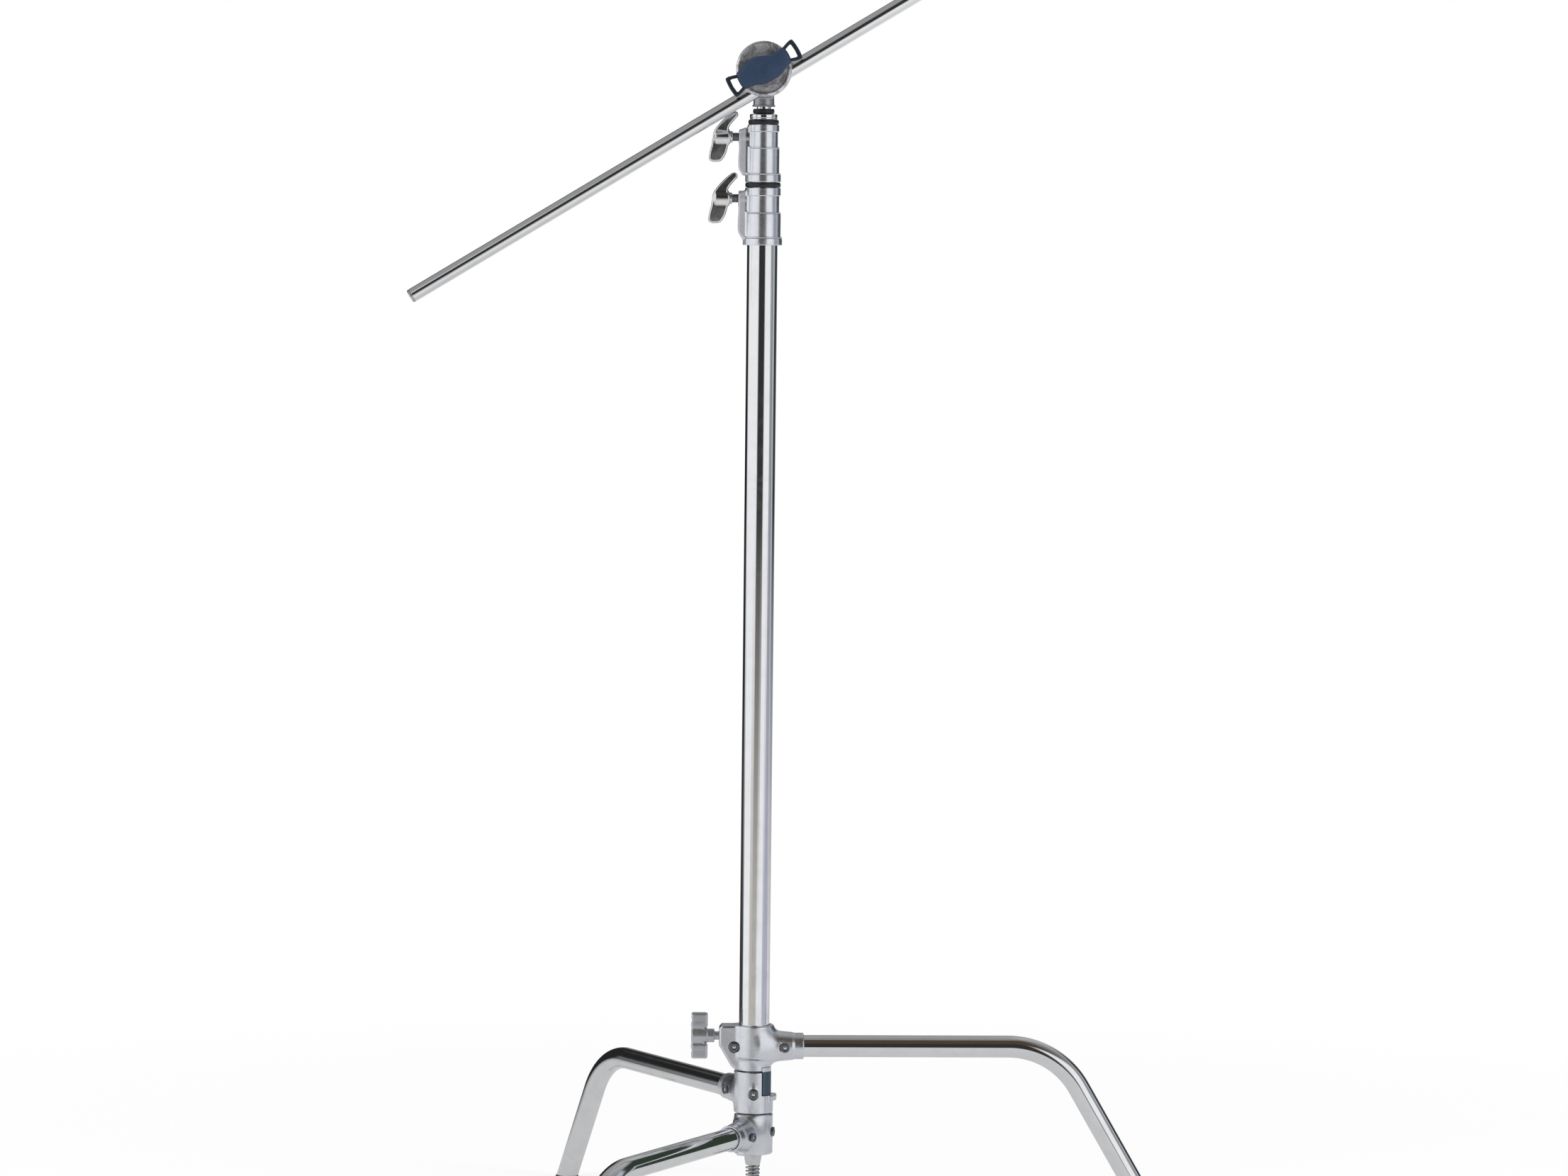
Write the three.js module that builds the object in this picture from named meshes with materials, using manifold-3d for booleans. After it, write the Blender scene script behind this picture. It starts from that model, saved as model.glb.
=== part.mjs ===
// A century lighting stand: a three-leg nesting base, a column with two risers,
// and a grip head that holds a long arm. Millimetres, +Z up.
// Everything is first placed about the column's axis, with the floor at z = 0.

import * as THREE from 'three';
import { mergeVertices } from 'three/addons/utils/BufferGeometryUtils.js';
import Module from 'manifold-3d';

const wasm = await Module();
wasm.setup();

// ---------------------------------------------------------------- driving dimensions

const GAP = 0.3;                 // between pieces that rest on each other
const PLAY = 0.3;                // radial play of a shaft in its hole
const TURN = Math.PI * 2;
const ROUND = 20;                // sides of the larger round pieces
const SMALL = 12;                // sides of screws and holes
const deg = THREE.MathUtils.degToRad;

// Column and risers: each riser runs inside the tube below it.
const TUBE_WALL = 1.5;
const COLUMN_R = 17.5;
const RISER_2_R = COLUMN_R - TUBE_WALL - 1;
const RISER_3_R = RISER_2_R - TUBE_WALL - 1;
const COLUMN_TOP = 1178;
const RISER_2_TOP = COLUMN_TOP + 72;
const RISER_3_TOP = RISER_2_TOP + 38.4;
const PLUG_LENGTH = 30;
const STACK_STEP = 26;           // each riser stops this far above the one outside it

// Legs: each is a tube that runs out level, bends, and drops to the floor.
const LEG_R = 12.7;
const LEG_WALL = 2;
const LEG_REACH = 350;           // column axis to the corner of the bend
const LEG_BEND_R = 95;
const LEG_DROP = deg(60);        // how far the leg turns down from level
const LOW_LEG_HEIGHT = 121.2;
const LEG_HEIGHTS = { low: LOW_LEG_HEIGHT, mid: LOW_LEG_HEIGHT + 46.6, top: LOW_LEG_HEIGHT + 100.8 };
const LEG_ANGLES = { low: deg(242), mid: deg(121), top: deg(3) };
const FOOT_WALL = 2.4;
const FOOT_LENGTH = 34;
const FOOT_SOLE = 6;

// Centre post, which the hubs turn on.
const POST_R = COLUMN_R - 1.5;
const POST_WALL = 2.5;

// Hubs, stacked on the centre post.
const HUB_R = COLUMN_R + 5.1;
const HUB_EDGE = 2;
const HUB_NECK_R = POST_R + 3.4;
const HUB_LEVELS = {
  bottom: LEG_HEIGHTS.low - 24.1, lowTop: LEG_HEIGHTS.low + 24.1, midTop: LEG_HEIGHTS.mid + 26.4,
  neckTop: LEG_HEIGHTS.top - 11, top: LEG_HEIGHTS.top + 25.5,
};
const SOCKET_END = HUB_R + 34.7; // column axis to the socket's mouth
const SOCKET_R = LEG_R + 2.6;
const SOCKET_ROOT_R = LEG_R + 7.8;  // where the socket flows into the hub
const LEG_START = HUB_R + 5.4;   // column axis to the leg's inner end
const FOLD_ANGLE = deg(112);     // how far one hub turns on the next
const TAB_WIDTH = deg(38);
const TAB_DEPTH = 3.4;           // radial thickness of a stop tab
const MID_TAB = { start: deg(-62), drop: 27 };
const LOW_TAB = { start: deg(40), drop: 12 };
const LEDGE = { reach: 4, height: 6, start: deg(-38), end: deg(26) };  // under the mid hub's recess

// Draw rod, its disc and its spring.
const SEAT_LEVEL = HUB_LEVELS.midTop + 5.8;  // the ledge inside the top hub
const DISC_THICK = 4;
const ROD_R = 5;
const ROD_BOTTOM = HUB_LEVELS.bottom - 48.1;
const CUP_R = 10.4;
const CUP_HEIGHT = 13;
const SPRING_R = 7.2;
const SPRING_WIRE_R = 1.1;
const SPRING_TURNS = 5;
const LOCK_NUT_R = 9;
const LOCK_NUT_HEIGHT = 8;

// Cast collars: each step is [level from the top of the gripped tube, wall outside the tube or riser].
const LOWER_COLLAR = {
  steps: [[-32.7, 5.1], [-25, 3.3], [3.2, 3.9], [23.8, 5.4]], height: 32.7,
  tube: COLUMN_R, tubeTop: COLUMN_TOP, riser: RISER_2_R, screwHeight: 20.6,
};
const UPPER_COLLAR = {
  steps: [[-32.6, 5.4], [-24.4, 3.5], [5.4, 4.1], [24.8, 5.5]], height: 32.7,
  tube: RISER_2_R, tubeTop: RISER_2_TOP, riser: RISER_3_R, screwHeight: 18.6,
};
for (const spec of [LOWER_COLLAR, UPPER_COLLAR]) {
  spec.steps = spec.steps.map(([level, wall]) => [
    spec.tubeTop + level, (level < 0 ? spec.tube : spec.riser) + wall,
  ]);
  spec.top = spec.tubeTop + spec.height;
  spec.screwLevel = spec.tubeTop + spec.screwHeight;
}
const COLLAR_LIP = 4;            // inward lip that keeps the bush in
const BUSH_WALL = 1.5;
const LUG_REACH = COLUMN_R + 10.3;  // column axis to the lug's face
const LUG_HALF_WIDTH = 9;

// Locking screws.
const SCREW_R = 5;
const PAD_THICK = 2.2;
const WING_THICK = 13;
const WING_HUB_R = 8;
const WING_CENTRE = LUG_REACH + 19.7;

// Set screws: the legs', the post's and the lug's.
const SCREW_HEAD_R = 5.4;
const SCREW_HEAD = 3;
const SET_SCREW_R = 3;
const LEG_SCREW_SEAT = LEG_R + 3.9;  // leg's centre line to the seat of its screw
const POST_SCREW = { level: LEG_HEIGHTS.low + 1.8, angle: deg(-8), shank: 4.6 };

// Top hub's lug and the base knob.
const LUG_FACE = HUB_R + 17.8;   // column axis to the lug's left face
const LUG_BACK = 12;
const LUG_WIDTH = 24;
const LUG_SCREW = { x: -HUB_R - 0.2, level: LEG_HEIGHTS.top, seat: LUG_WIDTH / 2 - 1, shank: 5 };
const KNOB_LEVEL = LEG_HEIGHTS.top + 11.6;
const KNOB_BLADE = { depth: 18.7, height: 52.8, thick: 11, far: LUG_FACE + 32 };
const KNOB_NECK = { r: 8.8, length: 8 };

// Pin on top of riser 3.
const PIN_R = 8;
const PIN_GROOVE_R = PIN_R - 1.8;
const PIN_TOP = RISER_3_TOP + 57.6;
const PIN_FLANGE = { r: RISER_3_R + 3.5, bottom: RISER_3_TOP + GAP, height: 6.3 };
const PIN_RING = { r: PIN_R + 4.5, height: 5.6 };
const LOWER_BUMPER_R = RISER_2_R + 5.6;
const UPPER_BUMPER_R = RISER_3_R + 5.2;

// Grip head: its bolt runs along Y, towards the front (-Y).
const HEAD_LEVEL = PIN_TOP - 0.8;
const HEAD = { level: HEAD_LEVEL, discR: 31.75, bottom: HEAD_LEVEL - 41.9, height: 62 };
const RECEIVER_R = PIN_R + 3.2;
const RECEIVER_LIP_R = PIN_R + 5.4;
const PLATE_BACK = -RECEIVER_R - 2.3;  // rear face of the back plate
const BACK_PLATE = 8;
const FRICTION_DISC = 2;
const JAW_THICK = 9;
const BOLT_R = 5;
const BOLT_LENGTH = 55;
const WASHER = 2;
const HEAD_LOCK_LEVEL = HEAD.level - 8.2;
const HEAD_LOCK = {
  stemR: 4, wing: 20, thick: 9, depth: 10, start: RECEIVER_R + 12.8, hubR: 7, bossR: 8.5, bossReach: 6,
};

// Handle of the grip head, along the arm.
const HANDLE = {
  half: 43.6, neck: 27, middleHalf: 16.4, neckHalf: 9.4, loopHalf: 11.8,
  bar: 3, thick: 17, loopThick: 7, bossR: 13, bossLength: 6,
};

// Arm.
const ARM_R = 8;
const ARM_WALL = 2;
const ARM_LENGTH = 1016;
const ARM_BACK = 478.6;          // from the jaws to the lower end
const ARM_TILT = deg(31.3);
const ARM_OFFSET = ARM_R + BOLT_R + 3.3;  // centre line below the bolt's axis
const ARM_CAP = 3;
const ARM_CAP_PLUG = 14;
const JAW_GAP = ARM_R;           // between the jaws when they grip the arm

// ---------------------------------------------------------------- materials

const LOOKS = {
  chrome: { color: 0xd6d9de, metalness: 1, roughness: 0.12 },
  casting: { color: 0xc4c9d1, metalness: 1, roughness: 0.28 },
  steel: { color: 0xaaadb3, metalness: 1, roughness: 0.35 },
  rubber: { color: 0x17181b, metalness: 0, roughness: 0.75 },
  nylon: { color: 0xe4e2da, metalness: 0, roughness: 0.5 },
  brass: { color: 0xb08b4a, metalness: 1, roughness: 0.35 },
  fibre: { color: 0x3c2f28, metalness: 0, roughness: 0.8 },
  blue: { color: 0x2a4466, metalness: 0, roughness: 0.5 },
};

const stand = new THREE.Group();

/** Names a solid, gives it its own material and adds it to the stand. */
function add(name, look, solid) {
  const mesh = new THREE.Mesh(geometryOf(solid), new THREE.MeshStandardMaterial(LOOKS[look]));
  mesh.name = name;
  stand.add(mesh);
}

// ---------------------------------------------------------------- solids

/** A closed three.js geometry as a solid that can be joined and cut. */
function solidOf(geometry) {
  geometry.deleteAttribute('normal');
  geometry.deleteAttribute('uv');
  const merged = mergeVertices(geometry, 1e-4);
  return new wasm.Manifold(new wasm.Mesh({
    numProp: 3,
    vertProperties: new Float32Array(merged.attributes.position.array),
    triVerts: new Uint32Array(merged.index.array),
  }));
}

/** The solid's triangles as a three.js geometry. */
function geometryOf(solid) {
  const mesh = solid.getMesh();
  const geometry = new THREE.BufferGeometry();
  geometry.setAttribute('position', new THREE.BufferAttribute(mesh.vertProperties, 3));
  geometry.setIndex(new THREE.BufferAttribute(mesh.triVerts, 1));
  geometry.computeVertexNormals();
  return geometry;
}

const join = (...solids) => solids.reduce((whole, next) => whole.add(next));
const cut = (whole, ...tools) => tools.reduce((left, tool) => left.subtract(tool), whole);

/** A profile of [radius, height] points turned about +Z. */
function turned(points, sides = ROUND) {
  const profile = points.map(([r, z]) => new THREE.Vector2(r, z));
  return solidOf(new THREE.LatheGeometry(profile, sides).rotateX(Math.PI / 2));
}

/** A round bar about +Z with a small chamfer at both ends. */
function bar(r, low, high, sides = ROUND, edge = 0) {
  return turned([[0, low], [r - edge, low], [r, low + edge], [r, high - edge], [r - edge, high], [0, high]]
    .filter((point, i, all) => i === 0 || point[0] !== all[i - 1][0] || point[1] !== all[i - 1][1]), sides);
}

/** A ring about +Z between two radii. */
function ring(outer, inner, low, high, sides = ROUND) {
  return turned([[inner, low], [outer, low], [outer, high], [inner, high], [inner, low]], sides);
}

/** A prism whose outline [x, y] rises from low to high along +Z. */
function prism(outline, low, high, bevel = 0) {
  const shape = new THREE.Shape(outline.map(([x, y]) => new THREE.Vector2(x, y)));
  const geometry = new THREE.ExtrudeGeometry(shape, {
    depth: high - low - 2 * bevel, bevelEnabled: bevel > 0,
    bevelSize: bevel, bevelThickness: bevel, bevelOffset: -bevel, bevelSegments: 1,
  });
  return solidOf(geometry.translate(0, 0, low + bevel));
}

/** A box between two corners. */
function box(low, high) {
  const size = high.map((value, i) => value - low[i]);
  const geometry = new THREE.BoxGeometry(...size);
  return solidOf(geometry.translate(...low.map((value, i) => value + size[i] / 2)));
}

/** Moves a solid by a matrix. */
function placed(solid, matrix) {
  return solid.transform(matrix.elements.slice());
}

/** Turns a solid built about +Z so that +Z points along a direction, then moves it to a point. */
function aimed(solid, direction, point = new THREE.Vector3()) {
  const turn = new THREE.Quaternion().setFromUnitVectors(new THREE.Vector3(0, 0, 1), direction);
  return placed(solid, new THREE.Matrix4().compose(point, turn, new THREE.Vector3(1, 1, 1)));
}

const LEFT = new THREE.Vector3(-1, 0, 0);
const FRONT = new THREE.Vector3(0, -1, 0);
const BACK = new THREE.Vector3(0, 1, 0);
const at = (x, y, z) => new THREE.Vector3(x, y, z);

/** A wedge of a ring about +Z, from one angle to another. */
function sector(outer, inner, low, high, start, end) {
  const steps = Math.max(2, Math.ceil((end - start) / deg(12)));
  const arc = (r) => Array.from({ length: steps + 1 }, (_, i) => {
    const angle = start + (end - start) * i / steps;
    return [r * Math.cos(angle), r * Math.sin(angle)];
  });
  return prism([...arc(outer), ...arc(inner).reverse()], low, high);
}

/** A hexagonal bar about +Z. */
const hexBar = (r, low, high) => bar(r, low, high, 6, 0.8);

// ---------------------------------------------------------------- legs and feet

/** A straight run, a round bend and a straight run; its steps are spent on the bend. */
class BentLine extends THREE.Curve {
  constructor(start, corner, end, radius, bendSteps) {
    super();
    this.start = start;
    this.end = end;
    this.bendSteps = bendSteps;
    this.into = corner.clone().sub(start).normalize();
    this.out = end.clone().sub(corner).normalize();
    this.angle = this.into.angleTo(this.out);
    const tangent = radius * Math.tan(this.angle / 2);
    this.bendStart = corner.clone().addScaledVector(this.into, -tangent);
    this.bendEnd = corner.clone().addScaledVector(this.out, tangent);
    const inward = this.out.clone().addScaledVector(this.into, -this.out.dot(this.into)).normalize();
    this.inward = inward;
    this.centre = this.bendStart.clone().addScaledVector(inward, radius);
    this.radius = radius;
  }

  getPoint(t, target = new THREE.Vector3()) {
    const k = t * (this.bendSteps + 2);
    if (k <= 1) return target.lerpVectors(this.start, this.bendStart, k);
    if (k >= this.bendSteps + 1) return target.lerpVectors(this.bendEnd, this.end, k - this.bendSteps - 1);
    const turn = this.angle * (k - 1) / this.bendSteps;
    return target.copy(this.centre)
      .addScaledVector(this.inward, -this.radius * Math.cos(turn))
      .addScaledVector(this.into, this.radius * Math.sin(turn));
  }

  getTangent(t, target = new THREE.Vector3()) {
    const k = THREE.MathUtils.clamp(t * (this.bendSteps + 2) - 1, 0, this.bendSteps);
    const turn = this.angle * k / this.bendSteps;
    return target.copy(this.into).multiplyScalar(Math.cos(turn))
      .addScaledVector(this.inward, Math.sin(turn));
  }

  getUtoTmapping(u) {
    return u;
  }
}

/** A round section, with an inner circle when it has a wall. */
function roundSection(r, wall) {
  const section = new THREE.Shape().absarc(0, 0, r, 0, TURN);
  if (wall > 0) section.holes.push(new THREE.Path().absarc(0, 0, r - wall, 0, TURN));
  return section;
}

/** A section swept along a path. */
function swept(path, steps, r, wall = 0, halfSides = 7) {
  return solidOf(new THREE.ExtrudeGeometry(roundSection(r, wall), {
    steps, curveSegments: halfSides, extrudePath: path,
  }));
}

/** The two ends and the corner of a leg's centre line, in the plane that holds the column's axis. */
function legLine(name) {
  const height = LEG_HEIGHTS[name];
  const out = at(Math.cos(LEG_ANGLES[name]), Math.sin(LEG_ANGLES[name]), 0);
  const down = out.clone().multiplyScalar(Math.cos(LEG_DROP)).add(at(0, 0, -Math.sin(LEG_DROP)));
  const corner = out.clone().multiplyScalar(LEG_REACH).setZ(height);
  const floor = corner.clone().addScaledVector(down, height / Math.sin(LEG_DROP));
  const start = out.clone().multiplyScalar(LEG_START).setZ(height);
  return { out, down, corner, floor, start };
}

/** How far along the leg its tube stops before the centre line meets the floor. */
const LEG_STOP = FOOT_SOLE + LEG_R / Math.tan(LEG_DROP);

function legTube(name) {
  const { start, corner, floor, down } = legLine(name);
  const end = floor.clone().addScaledVector(down, -LEG_STOP);
  const bendSteps = 7;
  return swept(new BentLine(start, corner, end, LEG_BEND_R, bendSteps), bendSteps + 2, LEG_R, LEG_WALL);
}

/** A boot over the leg's end, cut flat where it stands on the floor. */
function legFoot(name) {
  const { floor, down } = legLine(name);
  const boot = bar(LEG_R + PLAY + FOOT_WALL, -FOOT_LENGTH, LEG_R * 2, ROUND, 1.2);
  const hole = bar(LEG_R + PLAY, -FOOT_LENGTH - 1, -LEG_STOP + GAP);
  const reach = LEG_R * 4;
  const underFloor = box([floor.x - reach, floor.y - reach, -reach], [floor.x + reach, floor.y + reach, 0]);
  return cut(aimed(cut(boot, hole), down, floor), underFloor);
}

for (const name of ['low', 'mid', 'top']) {
  add(`${name}_leg`, 'chrome', legTube(name));
  add(`${name}_foot`, 'rubber', legFoot(name));
}

// ---------------------------------------------------------------- hubs

/** A leg's socket: a cone that leaves the hub, with a hole for the tube. */
function socket(name) {
  const { out } = legLine(name);
  const rim = 1.2;
  const profile = [[0, 0], [SOCKET_ROOT_R, 0], [SOCKET_ROOT_R, HUB_R * 0.7], [SOCKET_R + 1.2, SOCKET_END - 14],
    [SOCKET_R, SOCKET_END - 10], [SOCKET_R, SOCKET_END - rim], [SOCKET_R - rim, SOCKET_END], [0, SOCKET_END]];
  return aimed(turned(profile), out, at(0, 0, LEG_HEIGHTS[name]));
}

function socketHole(name) {
  const { out } = legLine(name);
  const hole = bar(LEG_R + PLAY, LEG_START - GAP, SOCKET_END + 1);
  return aimed(hole, out, at(0, 0, LEG_HEIGHTS[name]));
}

/** The space between two levels, which keeps a socket inside its own hub. */
function slab(low, high) {
  const reach = SOCKET_END * 2;
  return box([-reach, -reach, low], [reach, reach, high]);
}

/** A hub's barrel with softened edges. */
function barrel(low, high) {
  return bar(HUB_R, low, high, ROUND, HUB_EDGE);
}

const postBore = () => bar(POST_R + PLAY, 0, SEAT_LEVEL);

/** The recess that a stop tab swings in, open above and at its side. */
function tabRecess(tab, top) {
  const slack = deg(2);
  const start = tab.start - slack;
  const end = tab.start + TAB_WIDTH + FOLD_ANGLE + slack;
  return sector(HUB_R * 2, HUB_R - TAB_DEPTH - GAP, top - tab.drop - GAP, top + 1, start, end);
}

/** A stop tab that hangs below a hub into the recess of the hub under it. */
function stopTab(tab, top) {
  return sector(HUB_R - GAP, HUB_R - TAB_DEPTH, top - tab.drop, top + 4, tab.start, tab.start + TAB_WIDTH);
}

/** A set screw with a socket in its head, built about +Z with its seat at zero. */
function setScrew(shank) {
  const driveR = 2.6;
  const body = join(bar(SCREW_HEAD_R, 0, SCREW_HEAD, SMALL, 0.6), bar(SET_SCREW_R, -shank, 0.1, SMALL));
  return cut(body, bar(driveR, SCREW_HEAD - 2, SCREW_HEAD + 1, 6));
}

const setScrewHole = (shank) => bar(SET_SCREW_R + PLAY, -shank - GAP, 1, SMALL);

/** The flat seat, set into a curved wall, that a set screw's head rests on. */
const screwSeat = (depth) => bar(SCREW_HEAD_R + 0.8, 0, depth);

/** Which way each leg's set screw faces, and how far along the leg it crosses the socket. */
const LEG_SCREWS = {
  top: { along: HUB_R + 13.4, toward: FRONT },
  mid: { along: HUB_R + 10.4, toward: at(Math.sin(LEG_ANGLES.mid), -Math.cos(LEG_ANGLES.mid), 0) },
  low: { along: HUB_R + 10.4, toward: at(-Math.sin(LEG_ANGLES.low), Math.cos(LEG_ANGLES.low), 0) },
};

function legScrewPlace(name) {
  const { out } = legLine(name);
  const { along, toward } = LEG_SCREWS[name];
  const crossing = out.clone().multiplyScalar(along).setZ(LEG_HEIGHTS[name]);
  return { toward, point: crossing.addScaledVector(toward, LEG_SCREW_SEAT) };
}

const LEG_SCREW_SHANK = LEG_SCREW_SEAT - LEG_R - GAP;

/** Adds a leg's set screw, and returns its hub with the hole and the seat for it. */
function fitLegScrew(name, hub) {
  const { toward, point } = legScrewPlace(name);
  const seated = point.clone().addScaledVector(toward, GAP);
  add(`${name}_leg_screw`, 'steel', aimed(setScrew(LEG_SCREW_SHANK), toward, seated));
  return cut(hub, aimed(setScrewHole(LEG_SCREW_SHANK + 2), toward, point),
    aimed(screwSeat(12), toward, point));
}

// Low hub: it carries the low leg and holds the post with a dog screw.

function lowHub() {
  const { bottom, lowTop } = HUB_LEVELS;
  const body = join(barrel(bottom, lowTop - GAP), socket('low').intersect(slab(bottom, lowTop - GAP)));
  const rodHole = bar(ROD_R + PLAY, 0, lowTop);
  const floorLevel = bottom + 6;
  const bore = bar(POST_R + PLAY, floorLevel, SEAT_LEVEL);
  return cut(body, rodHole, bore, socketHole('low'), tabRecess(LOW_TAB, lowTop - GAP));
}

const postScrewToward = at(Math.cos(POST_SCREW.angle), Math.sin(POST_SCREW.angle), 0);
const postScrewSeat = postScrewToward.clone().multiplyScalar(HUB_R - 1).setZ(POST_SCREW.level);
add('low_hub', 'casting', fitLegScrew('low', cut(lowHub(),
  aimed(setScrewHole(POST_SCREW.shank + 1), postScrewToward, postScrewSeat),
  aimed(screwSeat(6), postScrewToward, postScrewSeat))));
add('post_screw', 'steel', aimed(setScrew(POST_SCREW.shank), postScrewToward,
  postScrewSeat.clone().addScaledVector(postScrewToward, GAP)));

// Mid hub: it turns on the post, and the top hub's tab swings in its recess.
function midHub() {
  const { lowTop, midTop } = HUB_LEVELS;
  const ledgeTop = midTop - GAP - MID_TAB.drop - GAP;
  const { reach, height, start, end } = LEDGE;
  const ledge = sector(HUB_R + reach, POST_R + 2, ledgeTop - height, ledgeTop, start, end);
  const root = socket('mid').intersect(slab(lowTop, midTop - GAP));
  const body = join(barrel(lowTop, midTop - GAP), root, ledge);
  const recessed = cut(body, postBore(), socketHole('mid'), tabRecess(MID_TAB, midTop - GAP));
  return join(recessed, stopTab(LOW_TAB, lowTop - GAP));
}

add('mid_hub', 'casting', fitLegScrew('mid', midHub()));

// Top hub: it carries the top leg, the column and the base knob.

function topHubLug() {
  const { midTop, top } = HUB_LEVELS;
  const outline = [[LUG_BACK, midTop], [HUB_R - 0.6, midTop], [HUB_R + 2.9, midTop + 3.8],
    [LUG_FACE, midTop + 27.8], [LUG_FACE, top - 4], [LUG_FACE - 4, top], [LUG_BACK, top]];
  const side = prism(outline.map(([x, z]) => [-x, z]).reverse(), -LUG_WIDTH / 2, LUG_WIDTH / 2, 2);
  return placed(side, new THREE.Matrix4().makeRotationX(Math.PI / 2));
}

const stemHole = (r) => bar(r + PLAY, 0, 100);

function topHub() {
  const { midTop, neckTop, top } = HUB_LEVELS;
  const body = join(
    turned([[0, midTop], [HUB_NECK_R, midTop], [HUB_NECK_R, neckTop - 6], [HUB_R, neckTop + 3],
      [HUB_R, top - HUB_EDGE], [HUB_R - HUB_EDGE, top], [0, top]]),
    socket('top').intersect(slab(midTop, top)),
    topHubLug(),
  );
  const columnBore = bar(COLUMN_R + PLAY, SEAT_LEVEL, top + 1);
  const place = at(LUG_SCREW.x, -LUG_SCREW.seat, LUG_SCREW.level);
  const drilled = cut(body, postBore(), columnBore, socketHole('top'),
    aimed(stemHole(SCREW_R), LEFT, at(0, 0, KNOB_LEVEL)),
    aimed(setScrewHole(LUG_SCREW.shank), FRONT, place), aimed(screwSeat(6), FRONT, place));
  return join(drilled, stopTab(MID_TAB, midTop - GAP));
}

add('top_hub', 'casting', fitLegScrew('top', topHub()));
add('lug_screw', 'steel', aimed(setScrew(LUG_SCREW.shank), FRONT,
  at(LUG_SCREW.x, -LUG_SCREW.seat - GAP, LUG_SCREW.level)));

// ---------------------------------------------------------------- centre post and draw rod

const POST_BOTTOM = HUB_LEVELS.bottom + 6 + GAP;
const POST_TOP = SEAT_LEVEL - 2;
const postScrewPocket = aimed(bar(SET_SCREW_R + PLAY, -POST_WALL * 2, POST_WALL, SMALL), postScrewToward,
  postScrewToward.clone().multiplyScalar(POST_R).setZ(POST_SCREW.level));
add('centre_post', 'steel', cut(ring(POST_R, POST_R - POST_WALL, POST_BOTTOM, POST_TOP), postScrewPocket));

// The rod's disc bears on the ledge in the top hub and pulls the stack of hubs together.
const DISC_BOTTOM = SEAT_LEVEL + GAP;
const DISC_TOP = DISC_BOTTOM + DISC_THICK;
add('draw_rod', 'steel', join(
  bar(COLUMN_R - GAP, DISC_BOTTOM, DISC_TOP, ROUND, 0.6),
  bar(ROD_R, ROD_BOTTOM, DISC_BOTTOM + 0.5, SMALL, 0.8),
));

const CUP_TOP = HUB_LEVELS.bottom - GAP;
const CUP_BOTTOM = CUP_TOP - CUP_HEIGHT;
add('spring_cup', 'chrome', cut(
  turned([[0, CUP_BOTTOM], [CUP_R - 2.2, CUP_BOTTOM], [CUP_R - 0.6, CUP_BOTTOM + 4], [CUP_R, CUP_TOP],
    [0, CUP_TOP]], 6),
  bar(ROD_R + PLAY, 0, CUP_TOP + 1, SMALL),
));

/** A helical spring about +Z whose wire just clears both seats. */
class Helix extends THREE.Curve {
  constructor(r, low, high, turns) {
    super();
    Object.assign(this, { r, low, high, turns });
  }

  getPoint(t, target = new THREE.Vector3()) {
    const angle = t * this.turns * TURN;
    const level = THREE.MathUtils.lerp(this.low, this.high, t);
    return target.set(this.r * Math.cos(angle), this.r * Math.sin(angle), level);
  }

  getUtoTmapping(u) {
    return u;
  }
}

/** A spring between two seats; it keeps the usual gap to each. */
function spring(r, wireR, low, high, turns) {
  const clear = wireR + GAP;
  return swept(new Helix(r, low + clear, high - clear, turns), turns * 10, wireR, 0, 2);
}

const LOCK_NUT_BOTTOM = ROD_BOTTOM + 3;
const LOCK_NUT_TOP = LOCK_NUT_BOTTOM + LOCK_NUT_HEIGHT;
add('draw_spring', 'steel', spring(SPRING_R, SPRING_WIRE_R, LOCK_NUT_TOP, CUP_BOTTOM, SPRING_TURNS));
add('draw_nut', 'steel', cut(hexBar(LOCK_NUT_R, LOCK_NUT_BOTTOM, LOCK_NUT_TOP),
  bar(ROD_R + PLAY, 0, CUP_TOP, SMALL)));

// ---------------------------------------------------------------- column, risers and collars

const COLUMN_BOTTOM = DISC_TOP + GAP;
const RISER_2_BOTTOM = COLUMN_BOTTOM + PLUG_LENGTH + STACK_STEP;
const RISER_3_BOTTOM = RISER_2_BOTTOM + PLUG_LENGTH + STACK_STEP;

add('column_tube', 'chrome', ring(COLUMN_R, COLUMN_R - TUBE_WALL, COLUMN_BOTTOM, COLUMN_TOP));
add('riser_2_tube', 'chrome', ring(RISER_2_R, RISER_2_R - TUBE_WALL, RISER_2_BOTTOM, RISER_2_TOP));
add('riser_3_tube', 'chrome', ring(RISER_3_R, RISER_3_R - TUBE_WALL, RISER_3_BOTTOM, RISER_3_TOP));

/** A plug in the bottom of a tube. */
const plug = (tubeR, bottom) => bar(tubeR - TUBE_WALL - GAP, bottom, bottom + PLUG_LENGTH, ROUND, 0.8);

/** A guide shoe under a riser that runs in the tube outside it and plugs the riser's end. */
function guideShoe(tubeR, outerTubeR, bottom) {
  const height = 10;
  const runR = outerTubeR - TUBE_WALL - GAP / 2 - 0.1;
  return join(bar(runR, bottom - GAP - height, bottom - GAP, ROUND, 0.6),
    bar(tubeR - TUBE_WALL - GAP, bottom - GAP - 1, bottom + PLUG_LENGTH - height, ROUND, 0.4));
}

add('column_plug', 'steel', plug(COLUMN_R, COLUMN_BOTTOM));
add('riser_2_shoe', 'nylon', guideShoe(RISER_2_R, COLUMN_R, RISER_2_BOTTOM));
add('riser_3_shoe', 'nylon', guideShoe(RISER_3_R, RISER_2_R, RISER_3_BOTTOM));

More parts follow.
